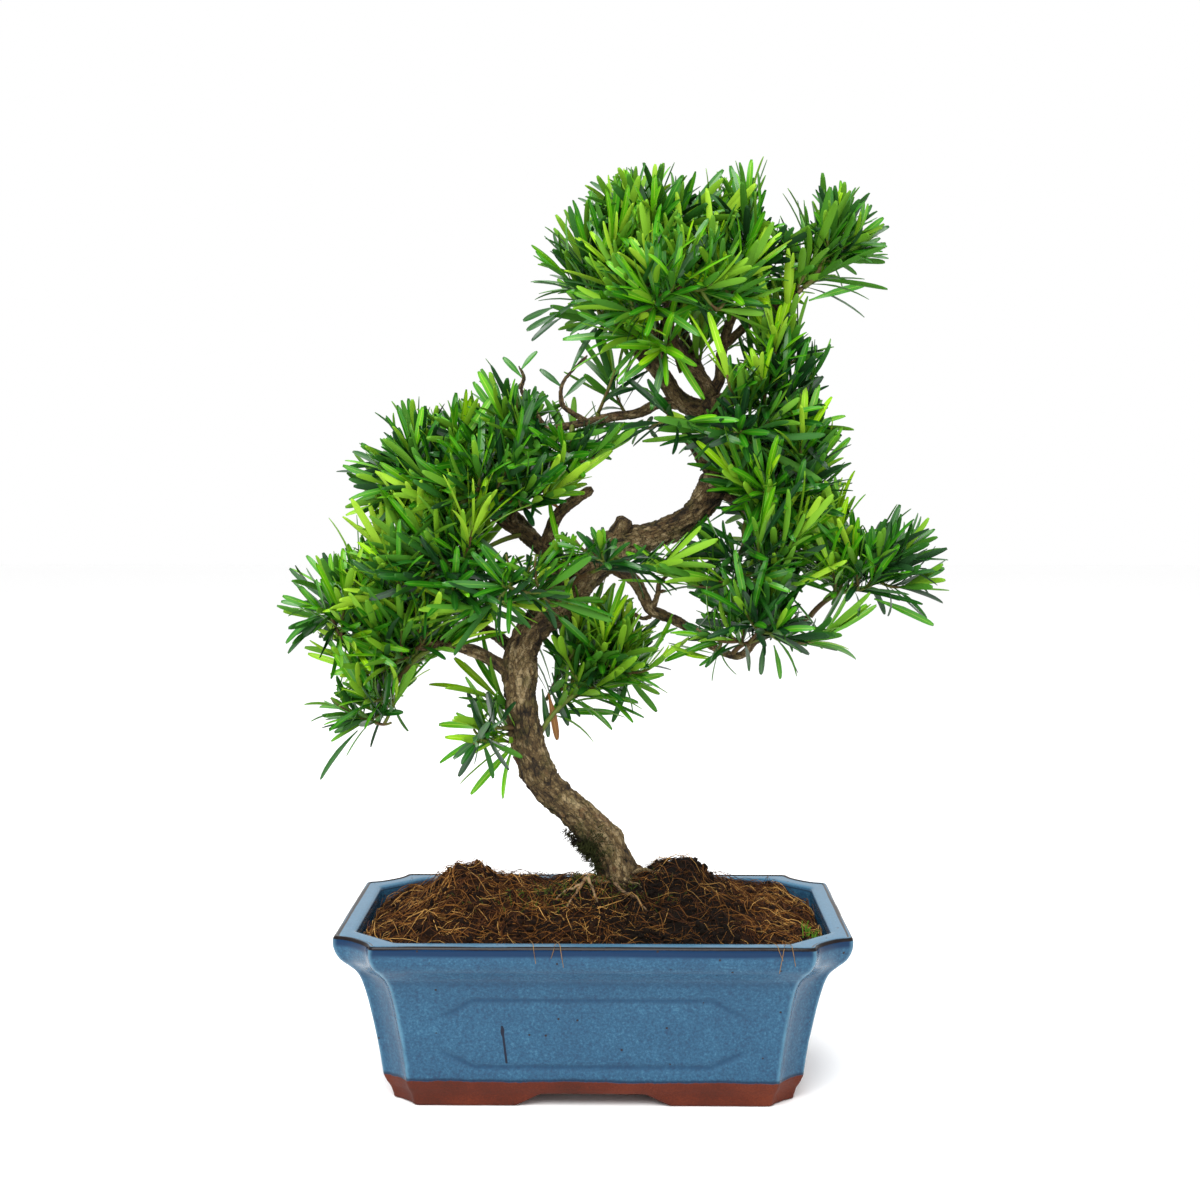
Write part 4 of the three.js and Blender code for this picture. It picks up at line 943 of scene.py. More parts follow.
def make_strays():
    """Fibres that hang over the lip, and small green sprouts in a corner of the bed."""
    over = []
    for x, run, fall in ((-33, 1.5, 8), (-21, -2, 5), (-18, 2, 10), (104, 3, 6), (108, -3, 13), (112, 2, 9)):
        route = [(x - run * 2, -78, 102), (x - run, -86, 103), (x, -93.5, 102.9), (x + run * 0.2, -96.2, 101),
                 (x + run, -96.4, 101 - fall)]
        path, _ = fine_curve(route, 12)
        over.append(path)
    radii = np.full((len(over), 13), 0.19)
    stray = make_piece("fibre_over_lip", *tubes(np.array(over), radii, 4),
                       [fibre_look("coir_stray", linear(132, 100, 58))])
    draws = np.random.default_rng(SEED + 9)
    share = np.linspace(0, 1, 6)[:, None]
    foot = SPROUT_PLACE + draws.normal(0, 1, (SPROUTS, 3)) * [3, 6, 0]
    foot[:, 2] = soil_height(foot[:, 0], foot[:, 1])
    way = unit((0, 0, 1) + draws.normal(0, 0.3, (SPROUTS, 3)))
    paths = foot[:, None] + way[:, None] * share * draws.uniform(3, 8, SPROUTS)[:, None, None]
    paths[..., 0] += share[:, 0] ** 2 * draws.normal(0, 2, SPROUTS)[:, None]
    radii = draws.uniform(0.25, 0.5, SPROUTS)[:, None] * np.array([1, 1, 1, 0.9, 0.6, 0.3])
    sprouts = make_piece("sprouts", *tubes(paths, radii, 4), [fibre_look("sprout", linear(84, 128, 30))])
    for piece in (stray, sprouts):
        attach(piece, "root")


def make_crumbs(draws, count):
    """Peat crumbs: rounded lumps of twelve points each, no two alike, half sunk in the bed."""
    golden = (1 + math.sqrt(5)) / 2
    corners = unit(np.array([(0, a, b * golden) for a in (-1, 1) for b in (-1, 1)]
                            + [(a, b * golden, 0) for a in (-1, 1) for b in (-1, 1)]
                            + [(b * golden, 0, a) for a in (-1, 1) for b in (-1, 1)], float))
    edge = np.linalg.norm(corners[:, None] - corners[None], axis=-1)
    near = edge < 1.06
    faces = [(a, b, c) for a in range(12) for b in range(a + 1, 12) for c in range(b + 1, 12)
             if near[a, b] and near[b, c] and near[a, c]]
    faces = [face if np.linalg.det(corners[list(face)]) > 0 else face[::-1] for face in faces]
    half = (POT_HALF - RIM_WIDTH - 5) * 0.98
    x, y = (draws.uniform(-side, side, count) for side in half)
    over = np.clip((np.abs(x) + np.abs(y) - (half.sum() - INNER_CUT)) / 2, 0, None)
    x, y = x - np.sign(x) * over, y - np.sign(y) * over
    size = draws.uniform(0.5, 1, count) ** 3 * 2.6
    lumps = corners[None] * draws.uniform(0.6, 1.25, (count, 12, 1)) * size[:, None, None]
    centre = np.stack([x, y, soil_height(x, y) + size * 0.3], axis=-1)
    points = (lumps + centre[:, None]).reshape(-1, 3)
    triangles = (np.array(faces)[None] + np.arange(count)[:, None, None] * 12).reshape(-1, 3)
    crumbs = make_piece("peat_crumbs", points, (), triangles, [soil_look()])
    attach(crumbs, "root")


# ---------------------------------------------------------------- wood
def limb_radius(diameters, share, length, turn=0.0, flared=False):
    """A limb's even taper, and at the trunk's foot a flare with three lobes that dies away upwards."""
    radius = (diameters[0] + (diameters[1] - diameters[0]) * share) / 2
    if not flared:
        return radius
    return radius + FLARE / 2 * np.exp(-share * length / FLARE_HEIGHT) * (1 + 0.35 * np.cos(3 * turn + 0.6))


WOOD = {"trunk": (TRUNK_ROUTE, TRUNK_DIAMETERS), **LIMBS}
CURVES = {name: fine_curve(route) for name, (route, _) in WOOD.items()}


def wood_samples():
    """Points along every limb with the limb's radius there, to keep foliage clear of it."""
    points, radii = [], []
    for name, (_, diameters) in WOOD.items():
        curve, length = CURVES[name]
        picked = np.linspace(0, len(curve) - 1, max(4, int(length / 3))).astype(int)
        points.append(curve[picked])
        radii.append(limb_radius(diameters, picked / (len(curve) - 1), length, flared=name == "trunk"))
    return np.vstack(points), np.concatenate(radii)


def bark_shape(name, ring_mm, side_mm, depth):
    """A limb's grid, bark height from 0 to 1, moss, and flow: places on the limb in a space of its own,
    drawn together along it. Its radius is the limb's taper, plus collars where others leave it, plus
    plates and fissures that are drawn out along it."""
    route, diameters = WOOD[name] if name in WOOD else BARE_TWIGS[name]
    curve, length = fine_curve(route)
    trunk = name == "trunk"
    rings = max(12, int(length / ring_mm))
    path, _ = fine_curve(curve[::8], rings)
    sides = max(14, int(math.pi * max(diameters) / side_mm))
    tangents, across, other = frames_along(path)
    share = np.linspace(0, 1, rings + 1)[:, None]
    turn = (np.arange(sides) / sides * 2 * np.pi)[None]
    radius = limb_radius(diameters, share, length, turn, trunk) + 0 * turn
    out = np.cos(turn)[..., None] * across[:, None] + np.sin(turn)[..., None] * other[:, None]
    surface = path[:, None] + out * radius[..., None]

    seed = 40 + sum(map(ord, name)) % 97
    upwards = 0 * turn + share * length * 0.46 + seed * 9
    flow = np.stack([np.cos(turn) * radius, np.sin(turn) * radius, upwards], axis=-1)
    scale = np.clip(max(diameters) / 22, 0.45, 1)
    fissures = 1 - np.abs(rough_noise(flow, 5.2 * scale, 3, seed)) * 2.6
    plates = smooth_step(rough_noise(flow, 7.5 * scale, 2, seed + 9), -0.25, 0.3)
    height = np.clip(0.42 + 0.42 * plates - 0.5 * np.clip(fissures, 0, 1)
                     + 0.24 * rough_noise(flow, 2.2 * scale, 2, seed + 5), 0, 1)
    lumps = rough_noise(surface, 24 * scale, 2, seed + 3) * 0.075 * radius
    flakes = np.abs(rough_noise(flow, 1.3 * scale, 2, seed + 21)) * 0.5 - 0.12
    relief = (height - 0.5 + flakes) * depth * (1.5 * scale) + lumps
    if trunk:
        collars = [(joint[0], thick * 1.15, 0.2 * thick) for joint, (thick, _) in LIMBS.values()]
        for spot, size, rise in (*collars, *KNOBS):
            relief += rise * bell(np.linalg.norm(surface - np.array(spot), axis=-1), size)
    fade = 1 - 0.45 * bell(share * length - length, 1.4)
    surface = path[:, None] + out * ((radius + relief) * fade)[..., None]
    moss = np.zeros_like(height)
    if trunk:
        for spot, size in MOSS_SPOTS:
            moss = np.maximum(moss, bell(np.linalg.norm(surface - np.array(spot), axis=-1), size))
    return surface, height, moss, flow * MM


def make_wood(sizes):
    """The bark of the trunk and of the boughs, then the roots and the moss."""
    look = bark_look(sizes)
    depth = sizes.bark_depth / MM
    trunk = bark_shape("trunk", 1.05, 0.75, depth)
    boughs = [bark_shape(name, 1.3, 0.9, depth * 0.8) for name in (*LIMBS, *BARE_TWIGS)]
    trunk_nodes = [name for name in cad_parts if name.startswith("trunk_")]
    for name, shapes, nodes in (("trunk_bark", [trunk], trunk_nodes), ("bough_bark", boughs, list(LIMBS))):
        piece = make_piece(name, *join_shapes([closed_grid(shape[0]) for shape in shapes]), [look])
        set_layers(piece, shapes)
        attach(piece, "root")
        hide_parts(*nodes)
    make_roots(look)
    make_moss()


def set_layers(piece, shapes):
    """Gives joined limbs their height, moss and flow. Each limb's two end points come last."""
    for layer, number, ends in (("height", 1, 0.35), ("moss", 2, 0.0)):
        set_attribute(piece, layer, np.concatenate([
            np.append(shape[number].ravel(), [ends, ends]) for shape in shapes]))
    set_attribute(piece, "flow", np.vstack([
        np.vstack([shape[3].reshape(-1, 3), shape[3][0].mean(axis=0), shape[3][-1].mean(axis=0)])
        for shape in shapes]))


def make_roots(look):
    """Surface roots: each leaves the trunk's foot, drops to the bed and creeps along it, swaying by two
    sines. Paler ones follow routes of their own over the bed."""
    foot = np.array(TRUNK_ROUTE[0][:2], float)
    paths, radii = [], []
    share = np.linspace(0, 1, 26)
    for number, (heading, reach, thick) in enumerate(ROOTS):
        turn = np.radians(heading) + 0.3 * np.sin(share * 4 + number) + 0.12 * np.sin(share * 13 + 2 * number)
        x = foot[0] + np.cos(turn) * (ROOT_START + reach * share)
        y = foot[1] + np.sin(turn) * (ROOT_START + reach * share)
        rise = 7 * (1 - smooth_step(share, 0, 0.3)) + 0.8 * np.sin(share * 9 + number) - 3 * share ** 2
        paths.append(np.stack([x, y, soil_height(x, y) + 0.9 + rise], axis=-1))
        radii.append(thick / 2 * (1.15 - share) * (1 + 0.15 * np.sin(share * 17 + number)))
    points, quads, lids = tubes(np.array(paths), np.array(radii), 9)
    piece = make_piece("surface_roots", points, quads, lids, [look])
    set_attribute(piece, "height", np.full(len(points), 0.7))
    set_attribute(piece, "moss", np.full(len(points), 0.1))
    set_attribute(piece, "flow", points * MM)
    pale_paths, pale_radii = [], []
    for route, thick in FRONT_ROOTS:
        path, _ = fine_curve(route, 25)
        path[:, 2] = soil_height(path[:, 0], path[:, 1]) + 2.6 - 2.0 * share
        pale_paths.append(path)
        pale_radii.append(thick * (1.1 - 0.7 * share) * (1 + 0.12 * np.sin(share * 23)))
    pale = make_piece("pale_roots", *tubes(np.array(pale_paths), np.array(pale_radii), 8),
                      [fibre_look("pale_root", linear(128, 104, 76))])
    for root in (piece, pale):
        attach(root, "root")


def make_moss():
    """Short dark moss stems in tufts on the trunk's foot, and green ones on the bed round it."""
    draws = np.random.default_rng(SEED + 5)
    curve, _ = CURVES["trunk"]
    kinds = [("dark", linear(44, 48, 18), 420, (-3, -13, 139), (6, 4, 9)),
             ("low", linear(34, 28, 14), 300, (-14, -7, 138), (3, 4, 8)),
             ("green", linear(66, 84, 24), 360, (-8, -26, 0), (26, 9, 0))]
    for name, colour, count, spot, spread in kinds:
        foot = np.array(spot) + draws.normal(0, 1, (count, 3)) * spread
        if spread[2]:
            nearest = curve[np.linalg.norm(foot[:, None] - curve, axis=-1).argmin(axis=1)]
            outward = unit(foot - nearest)
            foot = nearest + outward * draws.uniform(11.2, 13.6, count)[:, None]
        else:
            foot[:, 2] = soil_height(foot[:, 0], foot[:, 1]) + 0.6
            outward = np.tile([0.0, 0.0, 1.0], (count, 1))
        way = unit(outward + draws.normal(0, 0.55, (count, 3)))
        share = np.linspace(0, 1, 4)[None, :, None]
        length = draws.uniform(1.6, 4.6, count)[:, None, None]
        curl = draws.normal(0, 1.1, (count, 1, 3))
        paths = foot[:, None] + way[:, None] * length * share + curl * share ** 2
        radii = draws.uniform(0.2, 0.42, count)[:, None] * np.array([1, 0.9, 0.7, 0.35])
        piece = make_piece(f"moss_{name}", *tubes(paths, radii, 3), [fibre_look(f"moss_{name}", colour)])
        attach(piece, "root")


# ---------------------------------------------------------------- foliage
NAMES = list(MASSES)
CENTRES = np.array([centre for _, _, centre, _, _ in MASSES.values()], float)
REACHES = np.array([reach for _, _, _, reach, _ in MASSES.values()], float)
OPENING_CENTRES = np.array([centre for centre, _, _ in OPENINGS], float)
OPENING_REACHES = np.array([reach for _, reach, _ in OPENINGS], float)
OPENING_DEPTHS = np.array([depth for _, _, depth in OPENINGS], float)


def depth_in_foliage(points):
    """0 in the middle of a mass, 1 at the edge of all of them."""
    return np.linalg.norm((points[..., None, :] - CENTRES) / REACHES, axis=-1).min(axis=-1)


def in_opening(points):
    """Whether points lie in any of the openings."""
    across = np.linalg.norm((points[..., None, ::2] - OPENING_CENTRES) / OPENING_REACHES, axis=-1)
    return ((across < 1) & (points[..., None, 1] < OPENING_DEPTHS)).any(axis=-1)


def in_foliage(points, limit=SPACE_LIMIT):
    """Whether points lie in the space of any mass and in none of the openings."""
    return (depth_in_foliage(points) < limit) & ~in_opening(points)


def clear_of_wood(points, thickness, wood):
    """Whether points stay out of every limb by more than a thickness and a margin."""
    samples, radii = wood
    gaps = np.linalg.norm(points[..., None, :] - samples, axis=-1) - radii
    return gaps.min(axis=-1) > WOOD_MARGIN + thickness


def stem_of(number, random):
    """A mass's stem: from its place on the limb to its hub, bowed to one side."""
    limb, share, _, _, _ = MASSES[NAMES[number]]
    curve, _ = CURVES[limb]
    root = curve[int(round(share * (len(curve) - 1)))]
    centre, reach = CENTRES[number], REACHES[number]
    offset = root - centre
    hub = centre + offset * min(0.8, STEM_DEPTH / np.linalg.norm(offset / reach))
    span = hub - root
    bow = np.array([random() - 0.5, random() - 0.5, random() * 0.6 + 0.2])
    bow = unit(bow - unit(span) * (bow @ unit(span))) * np.linalg.norm(span) * STEM_BOW
    way = np.linspace(0, 1, 10)[:, None]
    return root + span * way + bow * 4 * way * (1 - way)


def shoot_direction(index, count, spin):
    """Directions spread evenly over a sphere whose lowest part is left out."""
    height = 1 + (SHOOT_LOWEST - 1) * (index + 0.5) / count
    radius = math.sqrt(1 - height * height)
    turn = index * GOLDEN_TURN + spin
    return np.array([math.cos(turn) * radius, math.sin(turn) * radius, height])


def bent_path(start, tip, end_way):
    """A twig from start to tip that arrives heading end_way: a curve through one control point."""
    control = tip - end_way * np.linalg.norm(tip - start) * 0.5
    way = np.linspace(0, 1, 9)[:, None]
    return start * (1 - way) ** 2 + control * 2 * way * (1 - way) + tip * way ** 2


class Foliage:
    """What has grown: twig paths with their radii, and for each leaf a row of its foot, its direction, the
    shoot's direction, its length, its bend and its tone."""

    def __init__(self, sizes):
        self.sizes = sizes
        self.twigs, self.leaves, self.tips = [], [], []
        self.wood = wood_samples()
        self.draws = np.random.default_rng(SEED)

    def add_twig(self, path, start, end):
        """A twig along a path, whose radius goes evenly from start to end."""
        even, _ = fine_curve(path, 9)
        self.twigs.append((even, np.linspace(start, end, 10)))

    def grow_mass(self, number):
        """A stem, and shoots from its joints and each other's: each heads for a place in the mass's space
        and turns up, and is moved inwards until its leaves stay in the foliage's space."""
        random = seeded(SEED + number * 7919)
        centre, reach, shoots = CENTRES[number], REACHES[number], MASSES[NAMES[number]][4]
        stem = stem_of(number, random)
        self.add_twig(stem, TWIG_STEM, TWIG_STEM * 0.85)
        joints = list(stem[3:])
        spin = random() * 2 * math.pi
        wanted = shoots * self.sizes.fullness * MASS_SHOOTS.get(NAMES[number], 1)
        grown = 0
        for attempt in range(SHOOT_TRIES):
            if grown >= wanted:
                break
            outward = shoot_direction(attempt * SHOOT_STRIDE % SHOOT_TRIES, SHOOT_TRIES, spin) * reach
            depth = SHOOT_NEAR + SHOOT_RANGE * random() ** 0.55
            for _ in range(5):
                tip = centre + outward * depth
                gaps = np.linalg.norm(np.array(joints) - tip + np.array([0, 0, SHOOT_LIFT]), axis=1)
                joint = joints[int(gaps.argmin())]
                end_way = unit(unit(outward) * 0.6 + unit(tip - joint) * 0.35 + np.array([0, 0, 0.7]))
                if in_foliage(tip + end_way * self.sizes.leaf_length / MM * 0.8, SPACE_LIMIT - 0.02):
                    break
                depth *= SHOOT_SHRINK
            path = bent_path(joint, tip, end_way)
            apart = min([np.linalg.norm(tip - other) for other in self.tips], default=99)
            if (np.linalg.norm(tip - joint) < SHOOT_SHORTEST or apart < self.sizes.shoot_gap / MM
                    or not in_foliage(path[3:]).all() or not clear_of_wood(path[3:], 0.4, self.wood).all()):
                continue
            self.add_twig(path, TWIG_ROOT, TWIG_TIP)
            self.tips.append(tip)
            joints += list(path[2:-3])
            grown += 1
            self.leave_shoot(number, path, end_way, random)

    def leave_shoot(self, number, path, end_way, random, darker=None):
        """Leaves in a spiral round a shoot's upper part: upright at its tip, spreading lower down. They are
        shortened until they lie in the foliage's space, and left out where they still touch wood or an
        opening. Shoots with a darker of their own may leave that space."""
        draws, sizes = self.draws, self.sizes
        length = np.linalg.norm(np.diff(path, axis=0), axis=1).sum()
        leafy = min(sizes.leafy_length / MM, length * 0.9)
        count = max(FEWEST_LEAVES, round(sizes.leaves_per_shoot * leafy / (sizes.leafy_length / MM)))
        age = (np.arange(count) / (count - 1)) ** 0.85  # 0 at the tip, 1 at the oldest leaf
        place = 1 - age * leafy / length
        ways = np.linspace(0, 1, len(path))
        foot = np.stack([np.interp(place, ways, column) for column in path.T], axis=1)
        tangents = unit(np.gradient(path, axis=0))
        axis = unit(np.stack([np.interp(place, ways, column) for column in tangents.T], axis=1))
        axis = unit(axis * 0.6 + end_way * 0.4)
        across = unit(np.cross(axis, SKEW))
        other = np.cross(axis, across)
        turn = random() * 2 * math.pi + np.arange(count) * GOLDEN_TURN + draws.normal(0, 0.16, count)
        outward = across * np.cos(turn)[:, None] + other * np.sin(turn)[:, None]
        opening = np.radians(LEAF_ANGLE + LEAF_ANGLE_MORE * age ** 1.1) + draws.normal(0, 0.1, count)
        direction = unit(axis * np.cos(opening)[:, None] + outward * np.sin(opening)[:, None])
        direction = unit(direction + np.array([0, 0, LEAF_LIFT]) * age[:, None])
        full = sizes.leaf_length / MM
        size = full * (0.66 + 0.42 * np.sin(np.clip(age * 1.15 + 0.12, 0, 1) * 2.5))
        size = size * draws.uniform(0.82, 1.12, count)
        bend = draws.normal(LEAF_BEND, 0.2, count) + LEAF_BEND_MORE * age
        for _ in range(4 if darker is None else 0):
            tips = foot + direction * size[:, None]
            middles = foot + direction * size[:, None] * 0.55
            inside = in_foliage(tips, SPACE_LIMIT + 0.04) & in_foliage(middles, SPACE_LIMIT)
            size = np.where(inside, size, size * LEAF_SHRINK)
        fits = size > full * LEAST_LEAF
        for share in (0.45, 0.9):
            places = foot + direction * size[:, None] * share
            fits &= clear_of_wood(places, LEAF_MARGIN, self.wood)
            if darker is None:
                fits &= ~in_opening(places)
        # Painted light and shade: leaves higher up and higher in their mass are lighter, and those deep
        # inside a mass are darker.
        rise = (foot[:, 2] - CENTRES[number, 2]) / REACHES[number, 2]
        tone = TONE + PAINTED_LIGHT_BY_HEIGHT * (foot[:, 2] - MIDDLE_HEIGHT) + PAINTED_LIGHT_BY_RISE * rise
        tone += TONE_BY_YOUTH * (MIDDLE_AGE - age)
        tone += PAINTED_SHADE_BY_DEPTH * (depth_in_foliage(foot) - MIDDLE_DEPTH) + MASS_TONES.get(NAMES[number], 0.0)
        tone += draws.normal(0, SHOOTS_DIFFER) + draws.normal(0, LEAVES_DIFFER, count) - (darker or 0)
        self.leaves.extend(np.column_stack([foot, direction, axis, size, bend, tone])[fits])

    def add_single_leaves(self):
        """The leaves of the table, bent down towards their tips."""
        for foot, tip, tone in SINGLE_LEAVES:
            span = np.array(tip, float) - foot
            length = np.linalg.norm(span)
            self.leaves.append(np.array([*foot, *span / length, 0.1, -0.8, 0.6, length, 0.4, tone]))

    def add_close_shoots(self):
        """The shoots of the table, with leaves all along."""
        random = seeded(SEED)
        for foot, tip, mass, darker in CLOSE_SHOOTS:
            foot, tip = np.array(foot, float), np.array(tip, float)
            span = unit(tip - foot)
            path = bent_path(foot, tip, unit(span + (0, 0, 0.4)))
            self.add_twig(path, TWIG_ROOT, TWIG_TIP)
            self.leave_shoot(NAMES.index(mass), path, unit(span + (0, 0, 0.3)), random, darker)


# A leaf's rows, as shares of its length, the number of points in a row, and the material of each face that
# starts there: 0 for the upper face, 2 for the rib and 1 for the underside.
LEAF_ROWS = np.array([0, 0.1, 0.26, 0.45, 0.64, 0.8, 0.91, 0.98])
LEAF_COLUMNS, LEAF_SLOTS = 5, [0, 2, 0, 1, 1]


def leaf_shapes(leaves, width, draws):
    """All leaves at once. Along u a leaf bends on an arc; across it, two halves rise from the midrib, and
    a lower midline gives it thickness. Its width grows from a narrow foot and rounds off at the tip."""
    foot, direction, axis = leaves[:, 0:3], leaves[:, 3:6], leaves[:, 6:9]
    size, bend = leaves[:, 9], leaves[:, 10]
    count, rows = len(leaves), len(LEAF_ROWS)
    face = unit(axis - direction * np.sum(axis * direction, axis=1, keepdims=True))
    side = np.cross(direction, face)
    twist = draws.normal(0, 0.3, count)[:, None]
    side, face = side * np.cos(twist) + face * np.sin(twist), face * np.cos(twist) - side * np.sin(twist)
    u = LEAF_ROWS[None, :, None]
    bend = np.where(np.abs(bend) < 0.02, 0.02, bend)[:, None, None]
    along = np.sin(bend * u) / bend
    away = (1 - np.cos(bend * u)) / bend
    length = size[:, None, None]
    sag = np.array([0, 0, -0.07]) * u ** 2 * length * (1 - np.abs(direction[:, None, 2:]))
    spine = foot[:, None] + length * (along * direction[:, None] - away * face[:, None]) + sag
    normal = face[:, None] * np.cos(bend * u) + direction[:, None] * np.sin(bend * u)
    outline = (0.24 + 0.76 * smooth_step(LEAF_ROWS, 0, 0.5)) * np.sqrt(
        np.clip(1 - (np.clip(LEAF_ROWS - 0.6, 0, 1) / 0.4) ** 2.6, 0.012, 1))
    half = outline[None, :, None] * width / 2 * (0.62 + 0.38 * size / size.max())[:, None, None]
    thick = 0.3 * np.sqrt(outline)[None, :, None]
    edge = 0.2 * half
    rib = side[:, None] * half * 0.1
    points = np.stack([spine - side[:, None] * half + normal * edge, spine - rib, spine + rib,
                       spine + side[:, None] * half + normal * edge, spine - normal * thick], axis=2)
    lids = np.array([[4, 3, 0], [3, 2, 0], [2, 1, 0]])
    lids = np.vstack([lids, lids[:, ::-1] + (rows - 1) * LEAF_COLUMNS])
    start = np.arange(count)[:, None, None] * rows * LEAF_COLUMNS
    quads = grid_quads(rows, LEAF_COLUMNS) + start
    slots = np.concatenate([np.tile(LEAF_SLOTS, (rows - 1) * count), np.ones(len(lids) * count)])
    return points.reshape(-1, 3), quads.reshape(-1, 4), (lids + start).reshape(-1, 3), slots


def sharpen_margins(piece):
    """Marks the leaves' margins as sharp, so that upper face and underside are each shaded by themselves."""
    mesh = piece.data
    ends = np.empty(len(mesh.edges) * 2, np.int32)
    mesh.edges.foreach_get("vertices", ends)
    column = ends.reshape(-1, 2) % LEAF_COLUMNS
    margin = (column[:, 0] == column[:, 1]) & np.isin(column[:, 0], (0, 3))
    layer = mesh.attributes.new("sharp_edge", "BOOLEAN", "EDGE")
    layer.data.foreach_set("value", margin)


# Kinds of leaf: a name, the tone up to which a leaf is of that kind, its upper face, underside and rib,
# and how strongly it shines.
LEAF_TONES = [("brown", -0.17, (104, 66, 26), (110, 78, 38), (128, 92, 44), 0.2),
              ("shade", 0.2, (10, 48, 16), (24, 60, 24), (30, 72, 30), 0.5),
              ("deep", 0.35, (18, 72, 10), (34, 84, 20), (46, 100, 26), 0.5),
              ("green", 0.49, (33, 100, 6), (54, 106, 20), (78, 132, 28), 0.45),
              ("mid", 0.63, (54, 125, 7), (80, 128, 24), (104, 152, 34), 0.4),
              ("bright", 0.79, (80, 148, 9), (102, 148, 26), (134, 174, 42), 0.32),
              ("young", math.inf, (124, 176, 13), (126, 166, 34), (160, 192, 62), 0.26)]


def make_foliage(sizes):
    """The twigs in one piece, and the leaves in one piece for each kind."""
    foliage = Foliage(sizes)
    for number in range(len(MASSES)):
        foliage.grow_mass(number)
    foliage.add_close_shoots()
    foliage.add_single_leaves()
    paths = np.array([path for path, _ in foliage.twigs])
    radii = np.array([radius for _, radius in foliage.twigs])
    twigs = make_piece("green_twigs", *tubes(paths, radii, 6), [twig_look(sizes)])
    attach(twigs, "root")
    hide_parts(*MASSES)
    leaves = np.array(foliage.leaves)
    low = -math.inf
    for name, high, upper, under, rib, shine in LEAF_TONES:
        chosen = leaves[(leaves[:, -1] > low) & (leaves[:, -1] <= high)]
        low = high
        points, quads, lids, slots = leaf_shapes(chosen, sizes.leaf_width / MM, foliage.draws)
        looks = [leaf_look(f"leaf_{name}", linear(*upper), 0.31, shine),
                 leaf_look(f"leaf_{name}_under", linear(*under), 0.6, 0.2),
                 leaf_look(f"leaf_{name}_rib", linear(*rib), 0.4, shine)]
        piece = make_piece(f"leaves_{name}", points, quads, lids, looks, slots)
        sharpen_margins(piece)
        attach(piece, "root")


# ---------------------------------------------------------------- stage
def make_stage(sizes):
    """A pale floor that runs out of sight, soft lamps, a pale sky and the camera."""
    corners = [(x * FLOOR_HALF, y * FLOOR_HALF, FLOOR_LEVEL) for x, y in ((-1, -1), (1, -1), (1, 1), (-1, 1))]
    look = Look("pale_floor")
    floor = make_piece("floor", corners, [(0, 1, 2, 3)], (), [look.finish(tuple(sizes.floor_colour), 0.9)])
    for name, place, size in LAMPS:
        light = bpy.data.lights.new(name, "AREA")
        light.size, light.energy = size * MM, getattr(sizes, f"{name}_watts")
        lamp = link_object(name, light)
        away = LAMP_AIM - place
        lamp.location = np.array(place) * MM
        lamp.rotation_euler = (math.pi / 2 + math.atan2(away[2], math.hypot(away[0], away[1])), 0,
                               math.atan2(-away[0], away[1]))
    world = bpy.data.worlds.new("studio")
    world.use_nodes = True
    background = world.node_tree.nodes["Background"]
    background.inputs["Color"].default_value = (*sizes.sky_colour, 1)
    background.inputs["Strength"].default_value = sizes.sky_strength
    bpy.context.scene.world = world
    camera = bpy.data.cameras.new("camera")
    camera.lens, camera.sensor_width = CAMERA_LENS, CAMERA_SENSOR
    eye = link_object("camera", camera)
    eye.location = (np.array(CAMERA_PLACE) + POT_PLACE) * MM
    eye.rotation_euler = (math.radians(90 - CAMERA_DIP), 0, math.radians(CAMERA_TURN))
    bpy.context.scene.camera = eye
    bpy.context.scene.view_settings.view_transform = "Standard"


# ---------------------------------------------------------------- add-on
def colour_setting(name, about, default):
    """A colour that a user may change."""
    return bpy.props.FloatVectorProperty(name=name, description=about, subtype="COLOR", default=default)


def length_setting(name, about, default):
    """A length in metres that a user may change."""
    return bpy.props.FloatProperty(name=name, description=about, unit="LENGTH", default=default)


def number_setting(name, about, default):
    """A number that a user may change."""
    return bpy.props.FloatProperty(name=name, description=about, default=default)


def count_setting(name, about, default):
    """A whole number that a user may change."""
    return bpy.props.IntProperty(name=name, description=about, default=default)


class PotSizes(bpy.types.PropertyGroup):
    glaze_colour: colour_setting("Glaze", "Colour of the glaze where it lies evenly", linear(36, 70, 95))
    pooled_colour: colour_setting("Pooled glaze", "Colour of the glaze where it gathers", linear(3, 36, 66))
    clay_colour: colour_setting("Clay", "Colour of the bare foot", linear(80, 30, 15))
    groove_depth: length_setting("Groove", "Depth of the pressed ornament line", 0.0009)


class SoilSizes(bpy.types.PropertyGroup):
    fibres: count_setting("Fibres", "Number of loose coir fibres", 7000)
    crumbs: count_setting("Crumbs", "Number of peat crumbs", 2600)


class WoodSizes(bpy.types.PropertyGroup):
    bark_colour: colour_setting("Bark", "Main colour of the bark", linear(94, 77, 47))
    bark_depth: length_setting("Relief", "Depth of the bark's fissures", 0.0013)


class FoliageSizes(bpy.types.PropertyGroup):
    twig_colour: colour_setting("Twigs", "Colour of the young wood", linear(82, 98, 30))
    leaf_length: length_setting("Leaf length", "Length of a full-grown leaf", 0.043)
    leaf_width: length_setting("Leaf width", "Width of a full-grown leaf", 0.0047)
    leafy_length: length_setting("Leafy length", "Length of a shoot that bears leaves", 0.03)
    leaves_per_shoot: count_setting("Leaves", "Leaves on a full-grown shoot", 27)
    fullness: number_setting("Fullness", "Most shoots for each shoot of the plain model", 3.2)
    shoot_gap: length_setting("Shoot gap", "Least distance between two shoot tips", 0.015)


